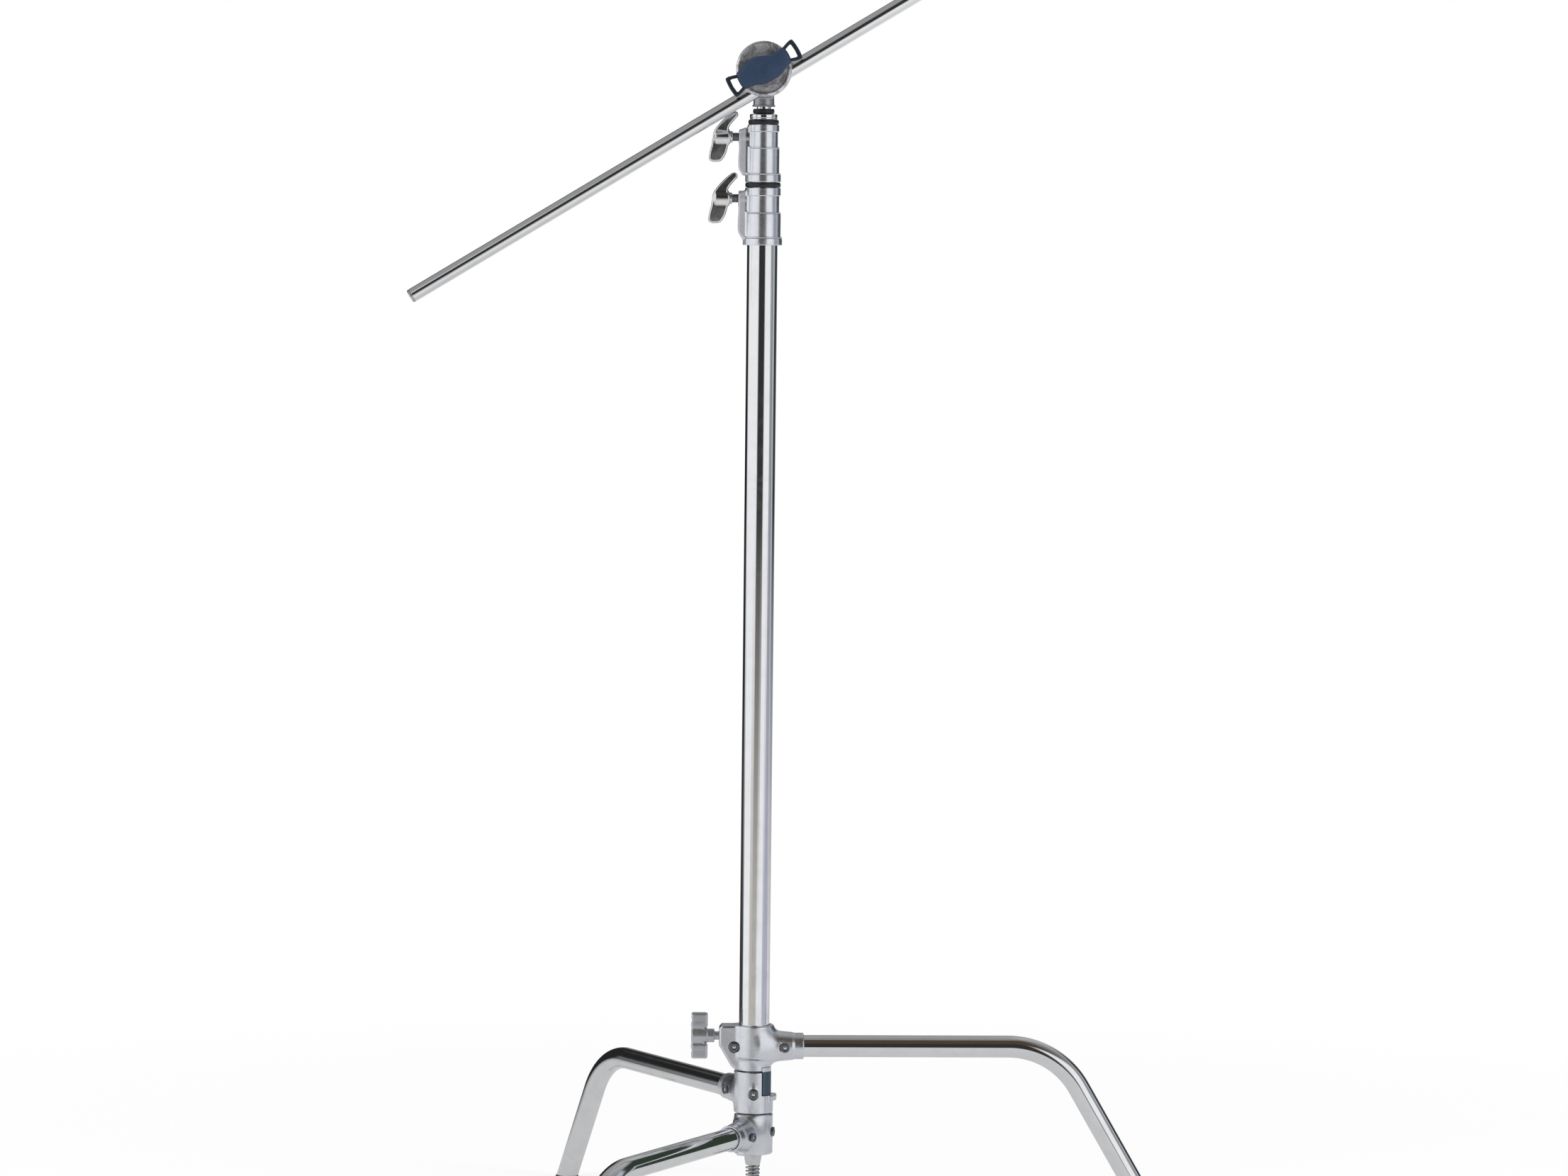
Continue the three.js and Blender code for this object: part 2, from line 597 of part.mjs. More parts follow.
/** The stepped outside of a collar, as profile points from the bottom up. */
function steppedProfile({ steps, top }) {
  const soft = 0.8;
  const points = [[0, steps[0][0]]];
  steps.forEach(([level, r], i) => {
    const next = i + 1 < steps.length ? steps[i + 1][0] : top;
    points.push([r - soft, level], [r, level + soft], [r, next - soft], [r - soft, next]);
  });
  points.push([0, top]);
  return points;
}

/** The lug on a collar's left side, through which the locking screw runs. */
function collarLug({ steps, top }) {
  const low = steps[0][0] + 5;
  const inner = 12;
  const outline = [[inner, low + 2], [LUG_REACH - 8.8, low + 4], [LUG_REACH - 4.3, low + 1.5],
    [LUG_REACH + 0.6, low + 12],
    [LUG_REACH + 0.6, low + 24], [LUG_REACH, low + 32], [LUG_REACH, top - 9], [LUG_REACH - 2, top - 5],
    [steps.at(-1)[1] + 1, top - 3], [inner, top - 3]];
  const side = prism(outline.map(([x, z]) => [-x, z]).reverse(), -LUG_HALF_WIDTH, LUG_HALF_WIDTH, 1.5);
  return placed(side, new THREE.Matrix4().makeRotationX(Math.PI / 2));
}

/** A cast collar: it grips the tube below, and holds a bush and a screw for the riser. */
function collar(spec) {
  const { steps, top, tube, tubeTop, riser, screwLevel } = spec;
  const bottom = steps[0][0];
  const bushR = riser + PLAY + BUSH_WALL;
  return cut(join(turned(steppedProfile(spec)), collarLug(spec)),
    bar(tube + PLAY, bottom - 1, tubeTop + GAP),
    bar(bushR + PLAY, tubeTop, top - COLLAR_LIP),
    bar(riser + PLAY, bottom, top + 1),
    aimed(stemHole(SCREW_R), LEFT, at(0, 0, screwLevel)));
}

/** The bush inside a collar, drilled for the pad of the locking screw. */
function collarBush({ top, tubeTop, riser, screwLevel }) {
  const sleeve = ring(riser + PLAY + BUSH_WALL, riser + PLAY, tubeTop + 2 * GAP, top - COLLAR_LIP - GAP);
  return cut(sleeve, aimed(stemHole(SCREW_R), LEFT, at(0, 0, screwLevel)));
}

/** The S-swept wing of a locking screw, seen from its edge, [outward, upward] from the screw's axis. */
const WING_OUTLINE = [
  [-11, -3], [-7.5, -9.5], [-4.5, -20], [0.5, -27.5], [11.5, -28.5], [14.5, -25.5], [14, -18],
  [11.5, -8], [10.8, 1], [7, 10], [-3.5, 22], [-12.5, 29.3], [-17, 28.8], [-18.6, 24.5], [-14.4, 19.5],
  [-8, 11], [-8, 3],
];

/** The wing, its boss and the threaded stem, in one piece that turns about the screw's axis. */
function wingScrew(level, tip) {
  const side = prism(WING_OUTLINE.map(([x, z]) => [-x, z]).reverse(), -WING_THICK / 2, WING_THICK / 2, 2.6);
  const wing = placed(side, new THREE.Matrix4().makeRotationX(Math.PI / 2));
  const boss = aimed(bar(WING_HUB_R, -9, 7, ROUND, 1.4), LEFT);
  const whole = join(wing, boss).translate([-WING_CENTRE, 0, level]);
  return join(whole, aimed(bar(SCREW_R, tip, WING_CENTRE, SMALL, 0.6), LEFT, at(0, 0, level)));
}

/** The shoe at a locking screw's tip, which presses on the riser without turning. */
function screwPad(level, riserR) {
  const face = riserR + PLAY;
  const pad = aimed(bar(SCREW_R - 0.3, face - 4, face + PAD_THICK, SMALL), LEFT, at(0, 0, level));
  return cut(pad, bar(face, level - 20, level + 20));
}

for (const [name, spec] of [['lower', LOWER_COLLAR], ['upper', UPPER_COLLAR]]) {
  add(`${name}_collar`, 'casting', collar(spec));
  add(`${name}_bush`, 'nylon', collarBush(spec));
  add(`${name}_wing_screw`, 'chrome', wingScrew(spec.screwLevel, spec.riser + PLAY + PAD_THICK + GAP));
  add(`${name}_screw_pad`, 'brass', screwPad(spec.screwLevel, spec.riser));
}

/** A rubber ring with rounded edges. */
function rubberRing(outer, inner, low, high) {
  const soft = Math.min(1.6, (high - low) / 3);
  return turned([[inner, low], [outer - soft, low], [outer, low + soft], [outer, high - soft],
    [outer - soft, high], [inner, high], [inner, low]]);
}

add('lower_bumper', 'rubber', rubberRing(LOWER_BUMPER_R, RISER_2_R + PLAY,
  LOWER_COLLAR.top + GAP, UPPER_COLLAR.steps[0][0] - GAP));
add('upper_bumper', 'rubber', rubberRing(UPPER_BUMPER_R, RISER_3_R + PLAY,
  UPPER_COLLAR.top + GAP, PIN_FLANGE.bottom - GAP));

// ---------------------------------------------------------------- base knob

/** A wing knob with straight blades, its neck and its threaded stem. */
function baseKnob() {
  const { depth, height, thick, far } = KNOB_BLADE;
  const near = far - depth;
  const half = thick / 2;
  const blade = prism([[-half - 1, -height / 2], [half + 1, -height / 2], [half - 0.5, 0],
    [half + 1, height / 2], [-half - 1, height / 2], [-half + 0.5, 0]], near, far, 1.8);
  const hub = bar(KNOB_NECK.r, near, far - 0.4, ROUND, 1.2);
  const neck = bar(KNOB_NECK.r, near - KNOB_NECK.length, near + 1, 6, 0.8);
  const tip = COLUMN_R + PLAY + PAD_THICK + GAP;
  const upright = placed(join(blade, hub), new THREE.Matrix4().makeRotationZ(Math.PI / 2));
  return aimed(join(upright, neck, bar(SCREW_R, tip, near + 1, SMALL, 0.6)), LEFT, at(0, 0, KNOB_LEVEL));
}

add('base_knob', 'chrome', baseKnob());
add('base_knob_pad', 'brass', screwPad(KNOB_LEVEL, COLUMN_R));

// ---------------------------------------------------------------- top pin

/** The pin on riser 3: a shank in the tube, a flange on its rim and a grooved stud above. */
function topPin() {
  const { r, bottom, height } = PIN_FLANGE;
  const shankR = RISER_3_R - TUBE_WALL - GAP;
  const flangeTop = bottom + height;
  const groove = { low: PIN_TOP - 22, high: PIN_TOP - 10 };
  return turned([[0, bottom - 40], [shankR, bottom - 40], [shankR, bottom], [r - 0.8, bottom], [r, bottom + 1],
    [r, flangeTop - 1.4], [r - 1.4, flangeTop], [PIN_R, flangeTop], [PIN_R, groove.low],
    [PIN_GROOVE_R, groove.low + 2], [PIN_GROOVE_R, groove.high - 2], [PIN_R, groove.high],
    [PIN_R, PIN_TOP - 1.5], [PIN_R - 1.5, PIN_TOP], [0, PIN_TOP]]);
}

const PIN_FLANGE_TOP = PIN_FLANGE.bottom + PIN_FLANGE.height;
add('top_pin', 'chrome', topPin());
add('pin_ring', 'rubber', rubberRing(PIN_RING.r, PIN_R + PLAY, PIN_FLANGE_TOP + GAP,
  PIN_FLANGE_TOP + GAP + PIN_RING.height));

// ---------------------------------------------------------------- grip head

const headCentre = at(0, 0, HEAD.level);
const plateFront = PLATE_BACK - BACK_PLATE;
const innerJawBack = plateFront - FRICTION_DISC - 2 * GAP;
const innerJawFront = innerJawBack - JAW_THICK;
const armDepth = innerJawFront - JAW_GAP / 2;
const outerJawBack = innerJawFront - JAW_GAP;
const outerJawFront = outerJawBack - JAW_THICK;
const armAlong = at(Math.cos(ARM_TILT), 0, Math.sin(ARM_TILT));
const armAcross = at(Math.sin(ARM_TILT), 0, -Math.cos(ARM_TILT));
const armFoot = armAcross.clone().multiplyScalar(ARM_OFFSET).add(at(0, armDepth, HEAD.level));

/** A disc about the bolt's axis between two depths along Y. */
function discAt(r, back, front, edge = 1.4) {
  return aimed(bar(r, -back, -front, 2 * SMALL, edge), FRONT, headCentre);
}

/** A hole about the bolt's axis. */
const boltHole = (r = BOLT_R) => aimed(bar(r + PLAY, -20, 80), FRONT, headCentre);

function headBase() {
  const lip = HEAD.bottom + 3;
  const top = HEAD.bottom + HEAD.height;
  const receiver = turned([[0, HEAD.bottom], [RECEIVER_LIP_R, HEAD.bottom], [RECEIVER_LIP_R, lip],
    [RECEIVER_R, lip + 4], [RECEIVER_R, top - 2], [RECEIVER_R - 2, top], [0, top]]);
  const web = box([-RECEIVER_R + 1, PLATE_BACK - 1, lip + 8], [RECEIVER_R - 1, 0, top - 4]);
  const { bossR, bossReach, stemR } = HEAD_LOCK;
  const lockBoss = aimed(bar(bossR, 0, RECEIVER_R + bossReach, ROUND, 1), BACK, at(0, 0, HEAD_LOCK_LEVEL));
  const boltBore = aimed(bar(BOLT_R + PLAY, -PLATE_BACK + 1, 60), FRONT, headCentre);
  return cut(join(receiver, web, lockBoss, discAt(HEAD.discR, PLATE_BACK, plateFront)),
    boltBore, bar(PIN_R + PLAY, HEAD.bottom - 1, top + 1),
    aimed(stemHole(stemR), BACK, at(0, 0, HEAD_LOCK_LEVEL)));
}

add('head_base', 'casting', headBase());
const discBack = plateFront - GAP;
add('friction_disc', 'fibre', cut(discAt(HEAD.discR - 3, discBack, discBack - FRICTION_DISC, 0.4), boltHole()));

/** The grooves that hold rods: one each side of the bolt, along the arm. */
function rodGroove(side) {
  const line = armAcross.clone().multiplyScalar(side * ARM_OFFSET).add(at(0, armDepth, HEAD.level));
  return aimed(bar(ARM_R + PLAY, -60, 60), armAlong, line);
}

function jaw(back, front) {
  return cut(discAt(HEAD.discR, back, front), boltHole(), rodGroove(1), rodGroove(-1));
}

add('inner_jaw', 'casting', jaw(innerJawBack, innerJawFront));
add('outer_jaw', 'casting', jaw(outerJawBack, outerJawFront));

const boltBack = PLATE_BACK - 1 - GAP;
const bolt = bar(BOLT_R, -boltBack, -boltBack + BOLT_LENGTH, ROUND, 0.8);
const jawSpring = spring(BOLT_R + 1.6, 0.8, -innerJawFront, -outerJawBack, 2);
add('head_bolt', 'steel', aimed(bolt, FRONT, headCentre));
add('jaw_spring', 'steel', aimed(jawSpring, FRONT, headCentre));

const washerBack = outerJawFront - GAP;
const washer = discAt(HANDLE.bossR + 1, washerBack, washerBack - WASHER, 0.4);
add('handle_washer', 'steel', cut(washer, boltHole()));

/** The handle's outline on its right half, from the middle to the neck: a smooth oval that narrows. */
function handleOutline() {
  const { neck, middleHalf, neckHalf } = HANDLE;
  const steps = 8;
  const upper = Array.from({ length: steps + 1 }, (_, i) => {
    const u = i / steps;
    const blend = (1 + Math.cos(Math.PI * u)) / 2;
    return [neck * u, neckHalf + (middleHalf - neckHalf) * blend];
  });
  const right = [...upper, ...upper.toReversed().map(([x, y]) => [x, -y])];
  const left = right.toReversed().map(([x, y]) => [-x, y]).filter(([x]) => x < 0);
  return [...right, ...left];
}

/** An open frame at the handle's end. */
function handleLoop() {
  const { half, neck, neckHalf, loopHalf, bar: barWidth, loopThick } = HANDLE;
  const outer = [[neck - 3, -neckHalf + 1], [neck + 6, -loopHalf + 1.5], [half - 2, -loopHalf],
    [half, -loopHalf + 2], [half, loopHalf - 2], [half - 2, loopHalf], [neck + 6, loopHalf - 1.5],
    [neck - 3, neckHalf - 1]];
  const inner = [[neck + 3.4, -loopHalf + barWidth + 1], [half - barWidth, -loopHalf + barWidth],
    [half - barWidth, loopHalf - barWidth], [neck + 3.4, loopHalf - barWidth - 1]];
  return cut(prism(outer, 0, loopThick, 1), prism(inner, -1, loopThick + 1));
}

function handle() {
  const { thick, bossR, bossLength, loopThick } = HANDLE;
  const loop = handleLoop().translate([0, 0, bossLength + (thick - loopThick) / 2]);
  const loops = join(loop, placed(loop, new THREE.Matrix4().makeRotationZ(Math.PI)));
  const grip = prism(handleOutline(), bossLength, bossLength + thick, 3);
  const body = join(grip, bar(bossR, 0, bossLength + 4, ROUND, 1), loops);
  const hollow = bar(BOLT_R + PLAY, -1, bossLength + thick - 3);
  const tilted = placed(cut(body, hollow), new THREE.Matrix4().makeRotationZ(ARM_TILT));
  const facing = placed(tilted, new THREE.Matrix4().makeRotationX(Math.PI / 2));
  return facing.translate([0, washerBack - WASHER - GAP, HEAD.level]);
}

add('head_handle', 'blue', handle());

/** The small locking screw behind the receiver. */
function headLockScrew() {
  const { stemR, wing, thick, depth, start, hubR } = HEAD_LOCK;
  const blade = prism([[-wing, -thick / 2], [wing, -thick / 2], [wing, thick / 2], [-wing, thick / 2]],
    start, start + depth, 2);
  const hub = bar(hubR, start - 4, start + depth, ROUND, 1);
  const stem = bar(stemR, PIN_R + PLAY + PAD_THICK + GAP, start, SMALL, 0.5);
  const upright = placed(join(blade, hub, stem), new THREE.Matrix4().makeRotationZ(Math.PI / 2));
  const facing = placed(upright, new THREE.Matrix4().makeRotationX(-Math.PI / 2));
  return facing.translate([0, 0, HEAD_LOCK_LEVEL]);
}

add('head_lock_screw', 'chrome', headLockScrew());
add('head_lock_pad', 'brass', cut(
  aimed(bar(HEAD_LOCK.stemR - 0.2, 4, PIN_R + PLAY + PAD_THICK, SMALL), BACK, at(0, 0, HEAD_LOCK_LEVEL)),
  bar(PIN_R + PLAY, HEAD_LOCK_LEVEL - 20, HEAD_LOCK_LEVEL + 20),
));

// ---------------------------------------------------------------- arm

const alongArm = (solid) => aimed(solid, armAlong, armFoot);

/** A cap over an end of the arm, with a plug inside the tube. */
function armCap() {
  const capPlug = bar(ARM_R - ARM_WALL - GAP, -ARM_CAP_PLUG, 0.5, ROUND, 0.5);
  return join(bar(ARM_R, 0, ARM_CAP, ROUND, 0.8), capPlug);
}

const armLow = -ARM_BACK + ARM_CAP + GAP;
const armHigh = ARM_LENGTH - ARM_BACK - ARM_CAP - GAP;
const flip = new THREE.Matrix4().makeRotationX(Math.PI);
add('arm_tube', 'chrome', alongArm(ring(ARM_R, ARM_R - ARM_WALL, armLow, armHigh)));
add('arm_cap_low', 'steel', alongArm(placed(armCap(), flip).translate([0, 0, armLow - GAP])));
add('arm_cap_high', 'steel', alongArm(armCap().translate([0, 0, armHigh + GAP])));

// The origin is on the floor, under the middle of the whole stand.
stand.updateMatrixWorld(true);
const extent = new THREE.Box3().setFromObject(stand, true);
const middle = extent.getCenter(new THREE.Vector3());
stand.position.set(-middle.x, -middle.y, -extent.min.z);

export default stand;
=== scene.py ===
# A century lighting stand: nesting bent legs, a column with two risers, and a grip head with its
# arm. Shapes are worked out in millimetres about the foot of the column, and moved into the frame
# in metres.
import math

import bpy
import numpy as np
from bpy.props import FloatProperty, FloatVectorProperty, IntProperty, PointerProperty
from mathutils import Matrix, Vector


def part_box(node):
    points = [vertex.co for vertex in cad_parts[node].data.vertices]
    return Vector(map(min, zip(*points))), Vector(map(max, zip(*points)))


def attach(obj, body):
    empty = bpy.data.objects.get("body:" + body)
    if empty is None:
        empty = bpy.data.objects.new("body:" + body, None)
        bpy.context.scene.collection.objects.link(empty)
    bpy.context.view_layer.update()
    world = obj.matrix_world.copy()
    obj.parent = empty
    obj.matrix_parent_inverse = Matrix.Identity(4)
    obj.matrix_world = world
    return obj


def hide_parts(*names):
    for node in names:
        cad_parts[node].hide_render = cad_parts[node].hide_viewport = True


bl_info = {
    "name": "Century Lighting Stand",
    "version": (1, 0, 0),
    "blender": (4, 5, 0),
    "location": "View3D > Sidebar > Stand",
    "description": "Builds a lighting stand with a grip head over its packed frame",
    "category": "Object",
}

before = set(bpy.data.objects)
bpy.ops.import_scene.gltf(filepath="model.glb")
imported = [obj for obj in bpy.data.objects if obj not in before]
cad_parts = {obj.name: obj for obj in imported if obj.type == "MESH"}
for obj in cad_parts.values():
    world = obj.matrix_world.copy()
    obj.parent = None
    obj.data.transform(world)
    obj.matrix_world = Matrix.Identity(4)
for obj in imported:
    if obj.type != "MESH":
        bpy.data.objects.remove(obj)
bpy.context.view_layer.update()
TURN = 2 * math.pi
MM = 0.001
UP = np.array([0.0, 0.0, 1.0])
LEFT = np.array([-1.0, 0.0, 0.0])
FRONT = np.array([0.0, -1.0, 0.0])
BACK = np.array([0.0, 1.0, 0.0])

# The camera's place in metres from the column's foot, its right and up directions, and its lens.
CAMERA_SPOT = (0.029, -6.3758, 1.1625)
CAMERA_TURN = ((0.99994145, 0.00069452, 0.01079852), (-0.01082083, 0.06418021, 0.99787966))
CAMERA_LENS = 127.63
CAMERA_SENSOR = 36.0


def column_foot():
    """The point on the floor under the column's axis, in metres."""
    low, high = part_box("column_tube")
    return np.array([(low.x + high.x) / 2, (low.y + high.y) / 2, 0.0])


FOOT = column_foot()


def span(node):
    """A node's lowest and highest corner in millimetres about the column's foot."""
    low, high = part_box(node)
    return (np.array(low) - FOOT) / MM, (np.array(high) - FOOT) / MM


def level_way(angle):
    """The level direction at an angle from +X."""
    return np.array([math.cos(angle), math.sin(angle), 0.0])


# ---------------------------------------------------------------- sizes, in millimetres

LEG_ANGLES = {"low": math.radians(242), "mid": math.radians(121), "top": math.radians(3)}
HUB_R = 22.6
HUB_BOTTOM = span("low_hub")[0][2]
LOW_TOP = span("low_hub")[1][2]
MID_BASE = LOW_TOP + 0.3
MID_TOP = span("mid_hub")[1][2]
TOP_BASE = MID_TOP + 0.3
TOP_TOP = span("top_hub")[1][2]
LEG_HEIGHTS = {
    "low": (HUB_BOTTOM + LOW_TOP) / 2 + 0.15, "mid": MID_BASE + 22.5, "top": TOP_BASE + 27.8,
}
LEG_R = 12.7
LEG_REACH = 350.0
LEG_BEND_R = 95.0
LEG_DROP = math.radians(60)
LEG_START = 28.0
LEG_SWING = 112  # degrees, from open to folded
SOLE = 4.2
POST_R = 16.3
COLUMN_R = 17.5
SOCKET_END = 57.3
TAB_SPAN = 38  # degrees round the hub that a stop tab takes up
SEAT_OUT = 16.6  # from a leg's centre line to the seat of its set screw
KNOB_LEVEL = LEG_HEIGHTS["top"] + 11.6
# STEM_R is the radius of every ten-millimetre thread, and STEM_BORE that of the hole round one.
STEM_R = 5.0
STEM_BORE = 5.3
PIN_R = 8.0
HEAD_Z = (span("outer_jaw")[0][2] + span("outer_jaw")[1][2]) / 2
DISC_R = (span("outer_jaw")[1][2] - span("outer_jaw")[0][2]) / 2
LOCK_Z = HEAD_Z - 8.2
TILT = math.radians(31.3)
ARM_ALONG = np.array([math.cos(TILT), 0, math.sin(TILT)])
ARM_ACROSS = np.array([math.sin(TILT), 0, -math.cos(TILT)])
ARM_Y = -37.1
ARM_OFFSET = 16.3
ARM_R = 8.0
ARM_ENDS = (-475.3, 534.1)
GROOVE_R = 8.3
ARM_FOOT = ARM_ACROSS * ARM_OFFSET + np.array([0, ARM_Y, HEAD_Z])


class StandSizes(bpy.types.PropertyGroup):
    """Sizes of what is added over the frame."""
    sides: IntProperty(
        name="Sides", description="Faces round each tube", default=64, min=16, max=128)
    casting_cell: FloatProperty(
        name="Casting cell", description="Grid step of the castings", default=0.0008,
        min=0.0004, max=0.003, unit="LENGTH")
    casting_blend: FloatProperty(
        name="Casting blend", description="Fillet where a socket leaves its hub", default=0.009,
        min=0.001, max=0.02, unit="LENGTH")
    edge: FloatProperty(
        name="Edge", description="Rounding of turned edges", default=0.0007,
        min=0.0001, max=0.003, unit="LENGTH")
    thread_pitch: FloatProperty(
        name="Thread pitch", description="Step of the threads on the screws", default=0.0015,
        min=0.0005, max=0.004, unit="LENGTH")
    floor_radius: FloatProperty(
        name="Floor radius", description="Radius of the floor disc", default=2.0,
        min=1.0, max=20.0, unit="LENGTH")


class StandColours(bpy.types.PropertyGroup):
    """Colours of the stand."""
    chrome: FloatVectorProperty(
        name="Chrome", description="Plated tubes and screws", subtype="COLOR",
        default=(0.80, 0.81, 0.83), min=0, max=1)
    casting: FloatVectorProperty(
        name="Casting", description="Hubs and collars", subtype="COLOR",
        default=(0.74, 0.76, 0.81), min=0, max=1)
    disc: FloatVectorProperty(
        name="Grip disc", description="Worn plates of the grip head", subtype="COLOR",
        default=(0.60, 0.60, 0.63), min=0, max=1)
    handle: FloatVectorProperty(
        name="Handle", description="Moulded grip handle", subtype="COLOR",
        default=(0.022, 0.047, 0.098), min=0, max=1)
    rubber: FloatVectorProperty(
        name="Rubber", description="Soles and bumpers", subtype="COLOR",
        default=(0.012, 0.013, 0.016), min=0, max=1)


# ---------------------------------------------------------------- surfaces carried along a path

def unit(vector):
    """The vector at length one."""
    vector = np.asarray(vector, float)
    return vector / np.linalg.norm(vector)


def straight(start, along, side=None):
    """Path: start + s * along, with one fixed pair of directions across it."""
    tangent = unit(along)
    guess = np.array([1.0, 0.0, 0.0]) if side is None else unit(side)
    if abs(guess @ tangent) > 0.9:
        guess = UP
    across = unit(guess - tangent * (guess @ tangent))
    third = np.cross(tangent, across)

    def path(s):
        rows = np.ones((len(s), 1))
        centre = np.asarray(start) + s[:, None] * tangent
        return centre, rows * tangent, rows * across, rows * third

    return path


def rounded(corners, soft=None, closed=False):
    """Profile: straight runs between corners (s, r), each corner replaced by a parabolic arc
    P0(1-t)^2 + 2 P1 t(1-t) + P2 t^2. Rows are s, r and the normal (-dr, ds) at length one."""
    base = bpy.context.scene.stand_sizes.edge / MM if soft is None else soft
    points = np.array([c[:2] for c in corners], float)
    softness = np.array([c[2] if len(c) > 2 else base for c in corners], float)
    count = len(points)
    t = np.linspace(0, 1, 6)[:, None]
    rows = []
    for i in range(count):
        ends = not closed and i in (0, count - 1)
        before, after = points[i - 1], points[(i + 1) % count]
        if ends:
            step = unit(points[1] - points[0]) if i == 0 else unit(points[-1] - points[-2])
            rows.append(np.array([[*points[i], -step[1], step[0]]]))
            continue
        into, out = unit(points[i] - before), unit(after - points[i])
        reach = min(softness[i], 0.45 * np.linalg.norm(points[i] - before),
                    0.45 * np.linalg.norm(after - points[i]))
        first, last = points[i] - into * reach, points[i] + out * reach
        arc = first * (1 - t) ** 2 + 2 * points[i] * t * (1 - t) + last * t ** 2
        slope = (points[i] - first) * (1 - t) + (last - points[i]) * t
        slope /= np.linalg.norm(slope, axis=1, keepdims=True)
        rows.append(np.column_stack([arc, -slope[:, 1], slope[:, 0]]))
    profile = np.vstack(rows)
    return np.vstack([profile, profile[:1]]) if closed else profile


def stepped(profile, step):
    """The profile with more rows, so that no run along the path is longer than a step."""
    gaps = np.abs(np.diff(profile[:, 0]))
    counts = np.maximum(1, np.ceil(gaps / step).astype(int))
    last = len(profile) - 1
    at = np.concatenate([i + np.arange(n) / n for i, n in enumerate(counts)] + [[last]])
    return np.column_stack([np.interp(at, np.arange(last + 1), column) for column in profile.T])


def carried(profile, path, sides=None):
    """Surface: centre(s) + r (cos a * across + sin a * third), with a from 0 to a full turn.
    Rows where r is zero become one point."""
    sides = sides or bpy.context.scene.stand_sizes.sides
    s, r, normal_s, normal_r = profile.T
    centre, tangent, across, third = path(s)
    angle = np.arange(sides) * TURN / sides
    spoke = (np.cos(angle)[None, :, None] * across[:, None, :]
             + np.sin(angle)[None, :, None] * third[:, None, :])
    points = centre[:, None, :] + r[:, None, None] * spoke
    normals = normal_r[:, None, None] * spoke + normal_s[:, None, None] * tangent[:, None, :]
    rows = len(s)
    index = np.arange(rows * sides).reshape(rows, sides)
    pole = r < 1e-9
    index[pole] = index[pole][:, :1]
    normals[pole] = normal_s[pole][:, None, None] * tangent[pole][:, None, :]
    if np.allclose(profile[0, :2], profile[-1, :2]) and not pole[0]:
        index[-1] = index[0]
    after = np.roll(index, -1, axis=1)
    quads = np.stack([index[:-1], after[:-1], after[1:], index[1:]], -1)
    flat = pole[:-1] | pole[1:]
    lower = quads[pole[:-1]][..., [0, 2, 3]].reshape(-1, 3)
    upper = quads[pole[1:]][..., [0, 1, 2]].reshape(-1, 3)
    return (points.reshape(-1, 3), normals.reshape(-1, 3),
            quads[~flat].reshape(-1, 4), np.vstack([lower, upper]))


def column_axis():
    """Path: straight up the column's axis from the floor."""
    return straight((0, 0, 0), UP)


def combined(*surfaces):
    """Several surfaces as one list of points, normals, quads and triangles."""
    offsets = np.cumsum([0] + [len(s[0]) for s in surfaces[:-1]])
    return (np.vstack([s[0] for s in surfaces]), np.vstack([s[1] for s in surfaces]),
            np.vstack([s[2] + o for s, o in zip(surfaces, offsets)]),
            np.vstack([s[3] + o for s, o in zip(surfaces, offsets)]))


def ring_profile(start, end, outer, inner, soft):
    """A washer's closed profile, with soft edges."""
    return rounded([(start, outer), (end, outer), (end, inner), (start, inner)], soft, closed=True)


def tube_profile(start, end, outer, inner):
    """A tube's closed profile: outside, end, inside, end."""
    return ring_profile(start, end, outer, inner, min(0.4, (outer - inner) / 3))


# ---------------------------------------------------------------- surfaces of cast shapes

def softened(side, end, soft):
    """Distance to where two faces meet in an edge of radius soft."""
    u, v = side + soft, end + soft
    outside = np.hypot(np.maximum(u, 0), np.maximum(v, 0))
    return np.minimum(np.maximum(u, v), 0) + outside - soft


def rod(start, end, r, far_r=None, soft=0.6):
    """Distance to a round bar or cone between two points."""
    start, end = np.asarray(start, float), np.asarray(end, float)
    length = np.linalg.norm(end - start)
    along = (end - start) / length
    slope = ((r if far_r is None else far_r) - r) / length

    def field(p):
        q = p - start
        t = q @ along
        away = np.sqrt(np.maximum((q * q).sum(1) - t * t, 0))
        side = (away - r - slope * t) / math.sqrt(1 + slope * slope)
        return softened(side, np.abs(t - length / 2) - length / 2, soft)

    return field


def block(low, high, soft=0.6):
    """Distance to a box with rounded edges."""
    centre = (np.asarray(low, float) + np.asarray(high, float)) / 2
    half = (np.asarray(high, float) - np.asarray(low, float)) / 2 - soft

    def field(p):
        q = np.abs(p - centre) - half
        return np.minimum(q.max(1), 0) + np.linalg.norm(np.maximum(q, 0), axis=1) - soft

    return field


def outline_distance(x, y, outline):
    """Distance to a closed outline, negative inside: the least distance to its sides, and the
    sign from how many sides a ray crosses."""
    nearest = np.full(x.shape, 1e9)
    inside = np.zeros(x.shape, bool)
    for (ax, ay), (bx, by) in zip(outline, np.roll(outline, -1, axis=0)):
        ex, ey = bx - ax, by - ay
        t = np.clip(((x - ax) * ex + (y - ay) * ey) / (ex * ex + ey * ey), 0, 1)
        nearest = np.minimum(nearest, (x - ax - t * ex) ** 2 + (y - ay - t * ey) ** 2)
        crosses = (ay > y) != (by > y)
        if by != ay:
            inside ^= crosses & (x < ax + (y - ay) * ex / (by - ay))
    return np.sqrt(nearest) * np.where(inside, -1, 1)


